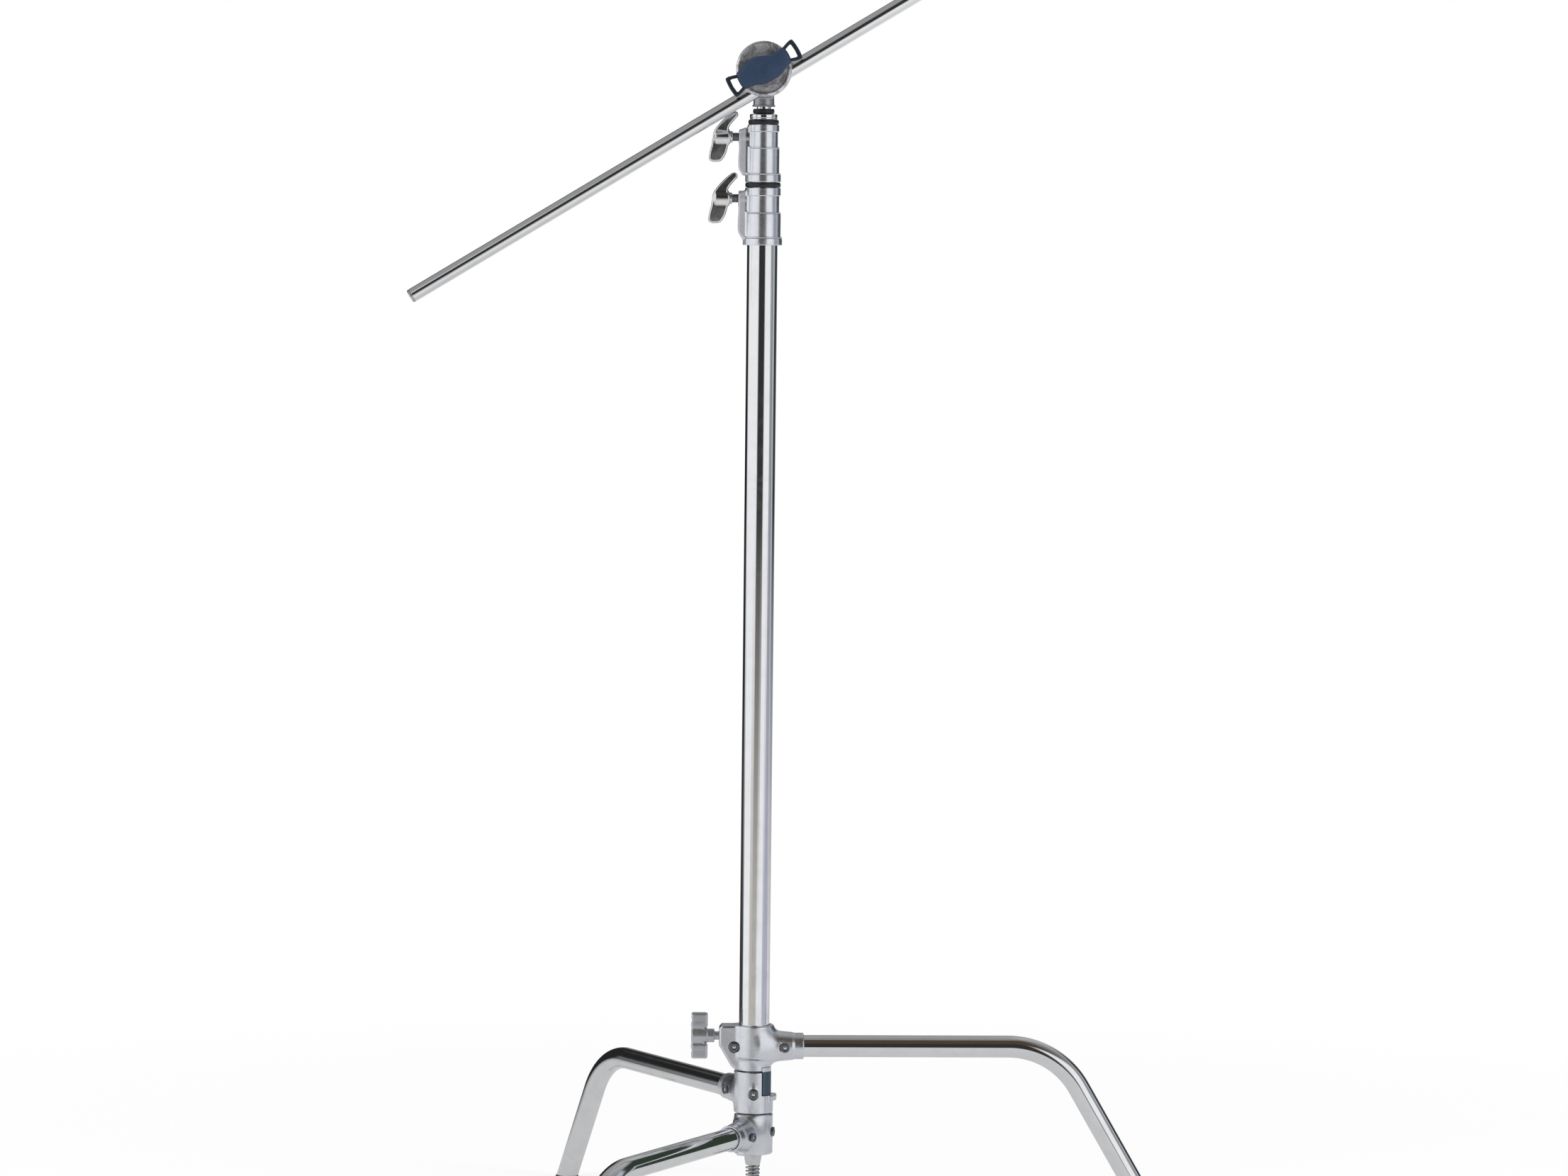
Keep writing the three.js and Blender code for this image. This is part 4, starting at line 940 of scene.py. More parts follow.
def top_hub():
    """Neck, barrel, socket and knob lug, less the bores and seats, with its stop tab."""
    neck_top = LEG_HEIGHTS["top"] - 11
    neck = rod(UP * TOP_BASE, UP * (neck_top + 6), 19.4, soft=1.0)
    barrel = rod(UP * (neck_top - 2), UP * TOP_TOP, HUB_R, soft=2.2)
    outline = np.array([
        [8, TOP_BASE + 1], [21.6, TOP_BASE + 1], [26.5, TOP_BASE + 5.5], [39.9, TOP_BASE + 28.5],
        [40.4, TOP_BASE + 31], [40.4, TOP_TOP - 4], [37.5, TOP_TOP - 0.4], [8, TOP_TOP]])
    lug = plate(outline, (0, 0, 0), LEFT, UP, 12.0, 3.2)
    body = hub_body("top", merge(3.5, neck, barrel, lug), TOP_BASE, TOP_TOP, 1.0)
    shoulder = UP * (TOP_BASE + 5.8)
    knob = UP * KNOB_LEVEL
    carved = carve(0.7, body, rod(UP * 150, shoulder, POST_R, soft=0.3),
                   rod(shoulder, UP * 300, COLUMN_R + 0.3, soft=0.3), socket_bore("top"),
                   rod(knob, knob + LEFT * 60, STEM_BORE, soft=0.3),
                   screw_seat(*screw_spot("top"), 3.6), screw_seat(*LUG_SCREW, 5.0))
    return merge(0.6, carved, stop_tab(-62, 27, MID_TOP))


class STAND_OT_hubs(bpy.types.Operator):
    """Casts the three hubs that hold the legs"""
    bl_idname = "stand.hubs"
    bl_label = "Leg Hubs"

    def execute(self, context):
        for name, field, body, material in (
                ("low_hub", low_hub, "base", "hub_casting"),
                ("mid_hub", mid_hub, "mid_leg_set", "hub_casting"),
                ("top_hub", top_hub, "top_leg_set", "top_hub_casting")):
            cast_piece(f"{name}_cast", field(), name, body, "casting", material)
        return {"FINISHED"}


# ---------------------------------------------------------------- legs and soles

def leg_path(name):
    """Path: out level, round an arc of the bend's radius, and down to the floor."""
    out = leg_out(name)
    side = np.cross(UP, out)
    tangent_run = LEG_BEND_R * math.tan(LEG_DROP / 2)
    level = LEG_REACH - tangent_run - LEG_START
    arc = LEG_BEND_R * LEG_DROP
    start = on_leg(name, LEG_START)
    bend_from = on_leg(name, LEG_REACH - tangent_run)

    def path(s):
        turn = np.clip((s - level) / LEG_BEND_R, 0, LEG_DROP)
        along = np.cos(turn)[:, None] * out - np.sin(turn)[:, None] * UP
        inward = -np.sin(turn)[:, None] * out - np.cos(turn)[:, None] * UP
        bent = bend_from - UP * LEG_BEND_R - inward * LEG_BEND_R
        centre = np.where((s < level)[:, None], start + s[:, None] * out,
                          bent + np.maximum(s - level - arc, 0)[:, None] * along)
        across = np.cross(side, along)
        return centre, along, across, np.cross(along, across)

    return path


def leg_end(name):
    """Length of the leg's centre line up to the end of its tube."""
    tangent_run = LEG_BEND_R * math.tan(LEG_DROP / 2)
    corner_drop = LEG_HEIGHTS[name] / math.sin(LEG_DROP) - tangent_run
    run = LEG_REACH - tangent_run - LEG_START
    return run + LEG_BEND_R * LEG_DROP + corner_drop - (6 + LEG_R / math.tan(LEG_DROP))


def cut_level(surface, base, along, length, level):
    """Cuts a tube's end level: past the base, a point at t along the tube and q across it moves
    to t * (level - base - q) / (along * length), all of them heights, so its end lies level."""
    points, *rest = surface
    t = (points - base) @ along
    q = points - base - t[:, None] * along
    to_level = (level - base[2] - q[:, 2]) / along[2]
    points = np.where((t > 0)[:, None], base + q + (t * to_level / length)[:, None] * along, points)
    return (points, *rest)


def leg_tube(name):
    """The bent tube, cut level just above the floor."""
    end = leg_end(name)
    length = 40.0
    profile = stepped(tube_profile(0, end, LEG_R, LEG_R - 2), 4.0)
    base, along, _, _ = leg_path(name)(np.array([end - length]))
    return cut_level(carried(profile, leg_path(name)), base[0], along[0], length, SOLE + 0.1)


def sole(name):
    """A rubber sole under the leg's level end, with a plug up inside the tube."""
    centre, along, _, _ = leg_path(name)(np.array([leg_end(name)]))
    tip, down = centre[0], along[0]
    pad = common(0.5, rod(tip - down * 40, tip + down * 60, 13.3, soft=0.4), slab(0, SOLE))
    plug = common(0.5, rod(tip - down * 12, tip + down * 60, 10.5, soft=0.6), slab(0.2, 60))
    return merge(0.3, pad, plug)


class STAND_OT_legs(bpy.types.Operator):
    """Bends the three legs and fits their rubber soles"""
    bl_idname = "stand.legs"
    bl_label = "Legs And Soles"

    def execute(self, context):
        for name, body in (("low", "base"), ("mid", "mid_leg_set"), ("top", "top_leg_set")):
            piece(f"{name}_leg_tube", leg_tube(name), body, "chrome", "chrome_plate", f"{name}_leg")
            cast_piece(f"{name}_sole", sole(name), f"{name}_foot", body, "rubber", "sole_rubber",
                       0.6)
        return {"FINISHED"}


# ---------------------------------------------------------------- screws, draw rod and spring

def set_screw(point, facing, shank):
    """A socket-head set screw: a domed head with a hexagonal socket, on its seat."""
    seat = point + facing * 0.3
    across = unit(np.cross(facing, UP))
    upward = np.cross(facing, across)
    head = rod(seat, seat + facing * 3, 5.4, soft=0.9)
    stem = rod(seat - facing * shank, seat + facing, 3.0, soft=0.4)
    socket = plate(hexagon(2.9), seat + facing * 3, across, upward, 1.5, 0.15)
    return carve(0.3, merge(0.3, head, stem), socket)


def socket_floor(point, facing):
    """The bright floor of a set screw's socket: a shallow dome."""
    corners = [(0.9, 0), (0.9, 2.5, 0.1), (2.0, 2.3, 0.3), (2.5, 1.2, 0.4), (2.6, 0)]
    return carried(rounded(corners), straight(point, facing), 24)


class STAND_OT_set_screws(bpy.types.Operator):
    """Turns the set screws of the hubs"""
    bl_idname = "stand.set_screws"
    bl_label = "Set Screws"

    def execute(self, context):
        for name, (point, facing), shank, body in (
                ("low_leg_screw", screw_spot("low"), 3.6, "base"),
                ("post_screw", POST_SCREW, 4.6, "base"),
                ("mid_leg_screw", screw_spot("mid"), 3.6, "mid_leg_set"),
                ("top_leg_screw", screw_spot("top"), 3.6, "top_leg_set"),
                ("lug_screw", LUG_SCREW, 5.0, "top_leg_set"),
                ("mid_side_screw", SIDE_SCREW, 3.6, "mid_leg_set"),
                ("mid_front_screw", FRONT_SCREW, 3.0, "mid_leg_set")):
            ends = np.array([point - facing * (shank + 1), point + facing * 4])
            surface = cast(set_screw(point, facing, shank), ends.min(0) - 6, ends.max(0) + 6, 0.28)
            node = [name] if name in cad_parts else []
            piece(f"{name}_turned", surface, body, "steel", "screw_black", *node)
            piece(f"{name}_socket", socket_floor(point, facing), body, "steel", "chrome_plate")
        return {"FINISHED"}


def coil_path(start, along, side, radius, length, turns):
    """Path of a spring's wire: radius (cos a * side + sin a * third) + z along, a rising with s."""
    along, side = unit(along), unit(side)
    third = np.cross(along, side)
    slope = length / (TURN * turns * radius)

    def path(s):
        a = (s * TURN * turns)[:, None]
        spoke = np.cos(a) * side + np.sin(a) * third
        tangent = -np.sin(a) * side + np.cos(a) * third + slope * along
        tangent /= np.linalg.norm(tangent, axis=1, keepdims=True)
        centre = start + spoke * radius + (s * length)[:, None] * along
        return centre, tangent, spoke, np.cross(tangent, spoke)

    return path


def coil(start, along, side, radius, length, turns, wire_r, steps):
    """A wire of round section carried along a coil, with domed ends."""
    s = np.linspace(0, 1, steps)
    profile = np.column_stack([s, np.full(steps, wire_r), np.zeros(steps), np.ones(steps)])
    cap = np.array([[0, 0, -1, 0], [0, wire_r * 0.7, -0.7, 0.7]])
    tail = np.array([[1, wire_r * 0.7, 0.7, 0.7], [1, 0, 1, 0]])
    path = coil_path(start, along, side, radius, length, turns)
    return carried(np.vstack([cap, profile, tail]), path, 14)


def threaded(start, end, r, pitch, depth, soft=0.8):
    """A bar's profile whose side ripples in rings, which stand for a thread:
    r - depth (1 + cos(2 pi s / pitch)) / 2."""
    s = np.arange(start + soft, end - soft, pitch / 8)
    wave = s * TURN / pitch
    side = np.column_stack([s, r - depth * (1 + np.cos(wave)) / 2])
    slope = depth * np.sin(wave) / 2 * TURN / pitch
    normal = np.column_stack([-slope, np.ones(len(s))])
    normal /= np.linalg.norm(normal, axis=1, keepdims=True)
    inner = r - depth - 0.4
    first = np.array([[start, 0, -1, 0], [start, inner - soft / 2, -1, 0],
                      [start + soft / 2, inner, -0.7, 0.7]])
    last = np.array([[end - soft / 2, inner, 0.7, 0.7], [end, inner - soft / 2, 1, 0],
                     [end, 0, 1, 0]])
    return np.vstack([first, np.hstack([side, normal]), last])


def hexagon_ring(node, r, point, soft):
    """A six-sided nut or cup about the column's axis, with chamfered corners and a bore."""
    low, high = span(node)[0][2], span(node)[1][2]
    body = plate(hexagon(r), UP * (low + high) / 2, -LEFT, BACK, (high - low) / 2, soft)
    dome = rod(UP * (low - point), UP * high, r * 0.72, r * 1.06, soft)
    bore = rod(UP * (low - 5), UP * (high + 5), STEM_BORE, soft=0.1)
    return carve(0.3, common(0.6, body, dome), bore)


class STAND_OT_draw_rod(bpy.types.Operator):
    """Makes the draw rod under the hubs with its cup, spring and nut"""
    bl_idname = "stand.draw_rod"
    bl_label = "Draw Rod And Spring"

    def execute(self, context):
        low, high = span("draw_rod")
        bottom, top, r = low[2], high[2], COLUMN_R - 0.3
        disc = rounded([(top - 4, 0), (top - 4, r), (top, r), (top, 0)])
        pitch = context.scene.stand_sizes.thread_pitch / MM
        shank = carried(threaded(bottom, top - 3.5, STEM_R, pitch, 0.5), column_axis(), 40)
        piece("draw_rod_turned", combined(carried(disc, column_axis()), shank), "base", "steel",
              "zinc_plate", "draw_rod")
        cast_piece("spring_cup_turned", hexagon_ring("spring_cup", 10.4, 4.0, 0.7), "spring_cup",
                   "base", "chrome", "screw_plate", 0.4)
        cast_piece("draw_nut_turned", hexagon_ring("draw_nut", 9.0, 8.0, 0.5), "draw_nut",
                   "base", "steel", "zinc_plate", 0.35)
        low, high = span("draw_spring")
        wire_r = 1.1
        length = high[2] - low[2] - 2 * wire_r
        surface = coil(UP * (low[2] + wire_r), UP, -LEFT, 7.2, length, 5, wire_r, 220)
        piece("draw_spring_wound", surface, "base", "steel", "zinc_plate", "draw_spring")
        return {"FINISHED"}


# ---------------------------------------------------------------- base knob

def base_knob():
    """Two blunt lobes above and below a round hub, a hexagonal neck and a plain stem."""
    low, high = span("base_knob")
    far, top = low[0], high[2] - KNOB_LEVEL
    near = far + 18.7
    centre = UP * KNOB_LEVEL
    lobe_top = block((far, -6.4, 9.5), (near, 6.4, top), 2.4)
    lobe_low = block((far, -6.4, -top), (near, 6.4, -9.5), 2.4)
    waist = block((far + 0.6, -5.2, -16), (near - 4.2, 5.2, 16), 1.6)
    hub = rod((far + 0.4, 0, 0), (near, 0, 0), 8.6, soft=1.4)
    groove_top = rod((far - 4, -12, 17.4), (far - 4, 12, 17.4), 4.6)
    groove_low = rod((far - 4, -12, -17.4), (far - 4, 12, -17.4), 4.6)
    blade = carve(1.0, merge(2.2, lobe_top, lobe_low, waist, hub), groove_top, groove_low)
    neck = common(0.8, plate(hexagon(8.8), (near + 3.6, 0, 0), BACK, UP, 4.4, 0.5),
                  rod((near - 2, 0, 0), (near + 8, 0, 0), 8.4, soft=1.5))
    stem = rod((near, 0, 0), (high[0], 0, 0), 4.9, soft=0.6)
    whole = merge(0.8, blade, neck, stem)
    return lambda p: whole(p - centre)


class STAND_OT_base_knob(bpy.types.Operator):
    """Casts the knob that locks the column in the base"""
    bl_idname = "stand.base_knob"
    bl_label = "Base Knob"

    def execute(self, context):
        cast_piece("base_knob_cast", base_knob(), "base_knob", "base_knob_turning", "chrome",
                   "knob_casting", 0.5)
        return {"FINISHED"}


# ---------------------------------------------------------------- column and collars

class STAND_OT_column(bpy.types.Operator):
    """Draws the column and its two risers"""
    bl_idname = "stand.column"
    bl_label = "Column And Risers"

    def execute(self, context):
        for name, body in (("column_tube", "column"), ("riser_2_tube", "riser_2"),
                           ("riser_3_tube", "riser_3")):
            low, high = span(name)
            r = (high[1] - low[1]) / 2
            profile = stepped(tube_profile(low[2], high[2], r, r - 1.5), 60.0)
            piece(f"{name}_drawn", carried(profile, column_axis(), 96), body, "chrome",
                  "chrome_plate", name)
        return {"FINISHED"}


# Each collar's radii of the tubes it holds, its levels, and the level and radius of each step.
COLLARS = {
    "lower": {"tube": 17.5, "tube_top": 1178.0, "riser": 15.0, "screw": 1198.6, "top": 1210.7,
              "steps": ((1145.3, 22.6), (1153.0, 20.8), (1181.2, 18.9), (1201.8, 20.4))},
    "upper": {"tube": 15.0, "tube_top": 1250.0, "riser": 12.5, "screw": 1268.6, "top": 1282.7,
              "steps": ((1217.4, 20.4), (1225.6, 18.5), (1255.4, 16.6), (1274.8, 18.0))},
}
LUG_REACH = 27.8


def collar(spec):
    """Stepped barrel with a thin bead at each step, and a lug for the locking screw."""
    steps, top = spec["steps"], spec["top"]
    bottom = steps[0][0]
    levels = [level for level, _ in steps] + [top]
    rings = [rod(UP * (levels[i] + 0.02), UP * levels[i + 1], r, soft=0.55)
             for i, (_, r) in enumerate(steps)]
    beads = [rod(UP * (level + 0.2), UP * (level + 1.7), max(r, steps[i - 1][1]), soft=0.5)
             for i, (level, r) in enumerate(steps) if i]
    outline = smooth_loop([
        [10, bottom + 7], [19, bottom + 8.6], [22.6, bottom + 7.2], [25.6, bottom + 10.5],
        [28.2, bottom + 17], [28.3, bottom + 28], [27.8, bottom + 37], [27.8, top - 12],
        [27.0, top - 7.0], [24.0, top - 4.6], [19.5, top - 3.4], [10, top - 3.2]], 5)
    lug = plate(outline, (0, 0, 0), LEFT, UP, 8.8, 2.2)
    screw = UP * spec["screw"]
    boss = rod(screw + LEFT * 12, screw + LEFT * LUG_REACH, 8.8, soft=1.0)
    body = merge(0.35, *rings, *beads)
    tube_top, riser = spec["tube_top"], spec["riser"]
    return carve(0.4, merge(2.4, body, merge(1.2, lug, boss)),
                 rod(UP * (bottom - 6), UP * (tube_top + 0.3), spec["tube"] + 0.3, soft=0.1),
                 rod(UP * tube_top, UP * (top - 4), riser + 2.1, soft=0.1),
                 rod(UP * bottom, UP * (top + 6), riser + 0.3, soft=0.1),
                 rod(screw, screw + LEFT * 60, STEM_BORE, soft=0.1))


WING = smooth_loop([
    (-11, -3), (-7.5, -9.5), (-4.5, -20), (0.5, -27.3), (6, -28.6), (11.5, -28.3), (14.5, -25.5),
    (14, -18), (11.5, -8), (10.8, 1), (7, 10), (-3.5, 22), (-12.5, 29.0), (-17, 28.6),
    (-18.4, 24.5), (-14.4, 19.5), (-8, 11), (-8, 3)], 4)


def wing(level):
    """An S-shaped wing with a ringed boss, dished at its outer end."""
    def half(x, y):
        return 6.4 - 0.5 * np.clip(np.abs(y) / 28, 0, 1) ** 2

    middle = UP * level + LEFT * 47.5
    blade = plate(WING, middle, LEFT, UP, half, 2.2)
    boss = rod(middle - LEFT * 9, middle + LEFT * 7, 8.0, soft=1.6)
    ring = rod(middle - LEFT * 12.4, middle - LEFT * 8, 6.6, soft=0.7)
    dish = rod(middle + LEFT * 6.4, middle + LEFT * 12, 4.2, 5.4, soft=0.5)
    return merge(0.8, carve(0.8, merge(3.0, blade, boss), dish), ring)


class STAND_OT_collars(bpy.types.Operator):
    """Casts the two collars and their wing screws"""
    bl_idname = "stand.collars"
    bl_label = "Collars And Wing Screws"

    def execute(self, context):
        pitch = context.scene.stand_sizes.thread_pitch / MM
        for name, body in (("lower", "column"), ("upper", "riser_2")):
            level, screw, turning = COLLARS[name]["screw"], f"{name}_wing_screw", f"{name}_wing"
            cast_piece(f"{name}_collar_cast", collar(COLLARS[name]), f"{name}_collar", body,
                       "casting", "collar_casting", 0.6)
            cast_piece(f"{name}_wing_cast", wing(level), screw, turning, "chrome", "screw_plate",
                       0.6)
            stem = threaded(-span(screw)[1][0], 38.0, STEM_R, pitch, 0.45)
            piece(f"{name}_wing_stem", carried(stem, straight(UP * level, LEFT, UP), 40), turning,
                  "chrome", "screw_black")
        return {"FINISHED"}


def rubber_ring(name, inner, swell):
    """A ring whose outside swells between its two faces."""
    low, high = span(name)
    outer = (high[1] - low[1]) / 2
    middle = (low[2] + high[2]) / 2
    corners = [(low[2], outer - swell, 0.8), (middle, outer, 2.4), (high[2], outer - swell, 0.8),
               (high[2], inner, 0.4), (low[2], inner, 0.4)]
    return carried(rounded(corners, closed=True), column_axis())


class STAND_OT_rings(bpy.types.Operator):
    """Moulds the rubber rings between the collars and on the pin"""
    bl_idname = "stand.rings"
    bl_label = "Rubber Rings"

    def execute(self, context):
        for name, body, inner, swell in (("lower_bumper", "column", 15.3, 1.1),
                                         ("upper_bumper", "riser_2", 12.8, 0.8),
                                         ("pin_ring", "riser_3", 8.3, 0.8)):
            surface = rubber_ring(name, inner, swell)
            piece(f"{name}_moulded", surface, body, "rubber", "ring_rubber", name)
        return {"FINISHED"}


class STAND_OT_top_pin(bpy.types.Operator):
    """Turns the pin at the top of the last riser"""
    bl_idname = "stand.top_pin"
    bl_label = "Top Pin"

    def execute(self, context):
        low, high = span("top_pin")
        bottom, top = low[2] + 40, high[2]
        corners = [(low[2], 0), (low[2], 10.7), (bottom, 10.7, 0.2), (bottom, 15.7, 0.5),
                   (bottom + 1.5, 15.7, 0.2), (bottom + 1.9, 15.2, 0.2), (bottom + 2.3, 15.9, 0.2),
                   (bottom + 5.4, 15.9, 0.4), (bottom + 6.3, 14.4, 0.4), (bottom + 6.3, PIN_R, 0.3),
                   (top - 22, PIN_R, 0.4), (top - 20, 6.2), (top - 12, 6.2), (top - 10, PIN_R, 0.4),
                   (top - 1.6, PIN_R), (top, 6.4), (top, 0)]
        piece("top_pin_turned", carried(rounded(corners), column_axis()), "riser_3", "chrome",
              "chrome_plate", "top_pin")
        return {"FINISHED"}


# ---------------------------------------------------------------- grip head

CENTRE = UP * HEAD_Z


def disc(back, front, r, soft):
    """A disc about the bolt's axis between two depths along Y."""
    return rod(CENTRE - FRONT * back, CENTRE - FRONT * front, r, soft=soft)


def rod_grooves():
    """The grooves that hold rods, one each side of the bolt."""
    middle = np.array([0, ARM_Y, HEAD_Z])
    spots = [middle + ARM_ACROSS * side * ARM_OFFSET for side in (1, -1)]
    return [rod(spot - ARM_ALONG * 60, spot + ARM_ALONG * 60, GROOVE_R) for spot in spots]


def head_base():
    """Back plate, receiver with its lip, web and lock boss, less the bores."""
    bottom = span("head_base")[0][2]
    receiver_top = bottom + 62
    plate_disc = disc(-13.5, -21.5, DISC_R, 1.8)
    receiver = rod(UP * bottom, UP * receiver_top, 12.2, 9.6, soft=1.2)
    lip = rod(UP * bottom, UP * (bottom + 1.7), 13.2, soft=0.5)
    web = block((-10.2, -15, bottom + 11), (10.2, 0, receiver_top - 3), 1.5)
    boss = rod((0, 0, LOCK_Z), (0, 17.2, LOCK_Z), 8.5, soft=1.2)
    rib = rod(CENTRE + BACK * -14, CENTRE + BACK * -9.5, 24, 20, soft=1.5)
    body = merge(3.0, merge(0.5, receiver, lip), web, plate_disc)
    return carve(0.5, merge(2.5, body, boss, common(1.0, rib, plate_disc)),
                 rod(UP * (bottom - 5), UP * (receiver_top + 5), PIN_R + 0.3, soft=0.2),
                 rod(CENTRE - BACK * 14.5, CENTRE - BACK * 60, STEM_BORE, soft=0.2),
                 rod((0, 0, LOCK_Z), (0, 40, LOCK_Z), 4.3, soft=0.2))


def jaw(back, front, face):
    """A grooved disc. The jaw whose face shows has a bevelled rim, a shallow dish and a hub."""
    body = disc(back, front, DISC_R, 1.0)
    if face:
        out = CENTRE - FRONT * front
        bevel = rod(out - FRONT * 2.4, out, DISC_R + 0.2, DISC_R - 2.0, soft=0.6)
        flat = disc(back, front + 2.3, DISC_R, 0.8)
        dish = rod(out - FRONT * 0.5, out + FRONT * 3, DISC_R - 4.5, DISC_R - 3.5, 0.3)
        hub = rod(out - FRONT * 3, out, 16.5, 15.5, 0.4)
        body = merge(0.6, carve(0.5, common(0.6, body, merge(0.3, bevel, flat)), dish), hub)
    bore = rod(CENTRE, CENTRE + FRONT * 90, STEM_BORE, soft=0.1)
    return carve(0.5, body, *rod_grooves(), bore)


HANDLE = smooth_loop([
    (-31, 9.0), (-24, 12.4), (-14, 15.9), (-2, 15.9), (8, 12.0), (18, 8.4), (31, 7.8), (31, -8.8),
    (24, -11.9), (14, -15.9), (3, -17.2), (-8, -16.2), (-18, -11.6), (-31, -8.4)], 5)
LOOP = smooth_loop([
    (24, -8.0), (30, -9.4), (37, -11.6), (41.5, -12.4), (44.0, -10.6), (45.0, 0), (44.0, 10.6),
    (41.5, 12.4), (37, 11.6), (30, 9.4), (24, 8.0)], 4)
LOOP_WINDOW = np.array([
    (31.4, -5.8), (38.0, -8.0), (39.7, -7.6), (40.3, 0), (39.7, 7.6), (38.0, 8.0), (31.4, 5.8)])


def handle_parts():
    """The handle's moulded shell, humped above the bolt on one side and below it on the other,
    and its two open loops, wider at their far bars."""
    low, high = span("head_handle")
    half = 8.5
    front, rear = CENTRE + BACK * low[1], CENTRE + BACK * high[1]
    spot = front + BACK * half

    def crowned(x, y):
        return half - 2.6 * np.clip(np.abs(x) / 31, 0, 1) ** 2 - 0.008 * y * y

    shell = plate(HANDLE, spot, ARM_ALONG, -ARM_ACROSS, crowned, 4.2)
    boss = rod(rear, rear + FRONT * 10, 13.0, soft=1.2)
    dish = rod(spot + FRONT * 7.7, spot + FRONT * 12, 6.2, 7.0, soft=0.5)
    bore = rod(rear + BACK * 2, front + BACK * 3.2, STEM_BORE, soft=0.2)
    body = carve(0.7, merge(2.0, shell, boss), bore, dish)
    loops = []
    for side in (1, -1):
        hoop = plate(LOOP, spot, ARM_ALONG * side, -ARM_ACROSS, 3.5, 1.4)
        window = plate(LOOP_WINDOW, spot, ARM_ALONG * side, -ARM_ACROSS, 9.0, 0.8)
        loops.append(carve(0.6, hoop, window))
    return body, loops


class STAND_OT_grip_head(bpy.types.Operator):
    """Casts the grip head: plates, jaws, friction disc, bolt and springs"""
    bl_idname = "stand.grip_head"
    bl_label = "Grip Head"

    def execute(self, context):
        cast_piece("head_base_cast", head_base(), "head_base", "head", "casting",
                   "head_casting", 0.7)
        for name, body, face in (("inner_jaw", "jaws", False), ("outer_jaw", "clamp_jaw", True)):
            low, high = span(name)
            cast_piece(f"{name}_cast", jaw(high[1], low[1], face), name, body, "casting",
                       "grip_disc", 0.6)
        axis = straight(CENTRE, FRONT, -LEFT)

        def washer(node, r, soft):
            low, high = span(node)
            return carried(ring_profile(-high[1], -low[1], r, STEM_BORE, soft), axis)

        piece("friction_disc_pressed", washer("friction_disc", 28.7, 0.3), "head", "fibre",
              "friction_fibre", "friction_disc")
        low, high = span("head_bolt")
        bolt = threaded(-high[1], -low[1], STEM_R, 2.0, 0.5)
        piece("head_bolt_turned", carried(bolt, axis, 40), "head", "steel", "zinc_plate",
              "head_bolt")
        piece("handle_washer_turned", washer("handle_washer", 14, 0.4), "clamp_jaw", "steel",
              "screw_plate", "handle_washer")
        low, high = span("jaw_spring")
        wire_r = 0.8
        start, length = CENTRE + FRONT * (-high[1] + wire_r), high[1] - low[1] - 2 * wire_r
        surface = coil(start, FRONT, -LEFT, 6.6, length, 2, wire_r, 90)
        piece("jaw_spring_wound", surface, "jaws", "steel", "zinc_plate", "jaw_spring")
        return {"FINISHED"}


def lock_screw():
    """The small locking screw behind the receiver: a straight wing, a hub and a stem."""
    low, high = span("head_lock_screw")
    start, end = high[1] - 10, high[1]
    level = UP * LOCK_Z
    outline = smooth_loop([
        (-20, -2.6), (-16, -4.4), (-8, -4.5), (8, -4.5), (16, -4.4), (20, -2.6), (20, 2.6),
        (16, 4.4), (8, 4.5), (-8, 4.5), (-16, 4.4), (-20, 2.6)], 4)
    blade = plate(outline, level + BACK * (start + end) / 2, UP, -LEFT, 4.9, 1.8)
    hub = rod(level + BACK * (start - 4), level + BACK * end, 7.0, soft=1.2)
    stem = rod(level + BACK * low[1], level + BACK * start, 3.95, soft=0.5)
    return merge(1.4, merge(1.6, blade, hub), stem)


class STAND_OT_handle(bpy.types.Operator):
    """Moulds the grip handle and casts the small locking screw"""
    bl_idname = "stand.handle"
    bl_label = "Handle And Lock Screw"

    def execute(self, context):
        shell, loops = handle_parts()
        cast_piece("head_handle_shell", shell, "head_handle", "handle", "handle_blue",
                   "handle_shell", 0.6)
        piece("head_handle_loops", cast(merge(0.3, *loops), *span("head_handle"), 0.6), "handle",
              "handle_blue", "handle_loop")
        cast_piece("head_lock_cast", lock_screw(), "head_lock_screw", "head_lock", "chrome",
                   "screw_plate", 0.5)
        return {"FINISHED"}


class STAND_OT_arm(bpy.types.Operator):
    """Draws the long arm and caps its ends"""
    bl_idname = "stand.arm"
    bl_label = "Grip Arm"

    def execute(self, context):
        axis = straight(ARM_FOOT, ARM_ALONG, ARM_ACROSS)
        low, high = ARM_ENDS
        profile = stepped(tube_profile(low, high, ARM_R, ARM_R - 2), 60.0)
        piece("arm_tube_drawn", carried(profile, axis, 64), "arm", "chrome", "chrome_plate",
              "arm_tube")
        cap = rounded([(-14, 0), (-14, 5.7), (0, 5.7, 0.2), (0, ARM_R, 0.3), (1.9, ARM_R, 0.3),
                       (3, 6.9, 0.4), (3, 5.2, 0.3), (2.3, 4.4, 0.3), (2.3, 0)], 0.5)
        for name, end, way in (("arm_cap_low", low - 0.3, -1.0), ("arm_cap_high", high + 0.3, 1.0)):
            path = straight(ARM_FOOT + ARM_ALONG * end, ARM_ALONG * way, ARM_ACROSS)
            piece(f"{name}_turned", carried(cap, path, 48), "arm", "steel", "zinc_plate", name)
        return {"FINISHED"}


# ---------------------------------------------------------------- stage

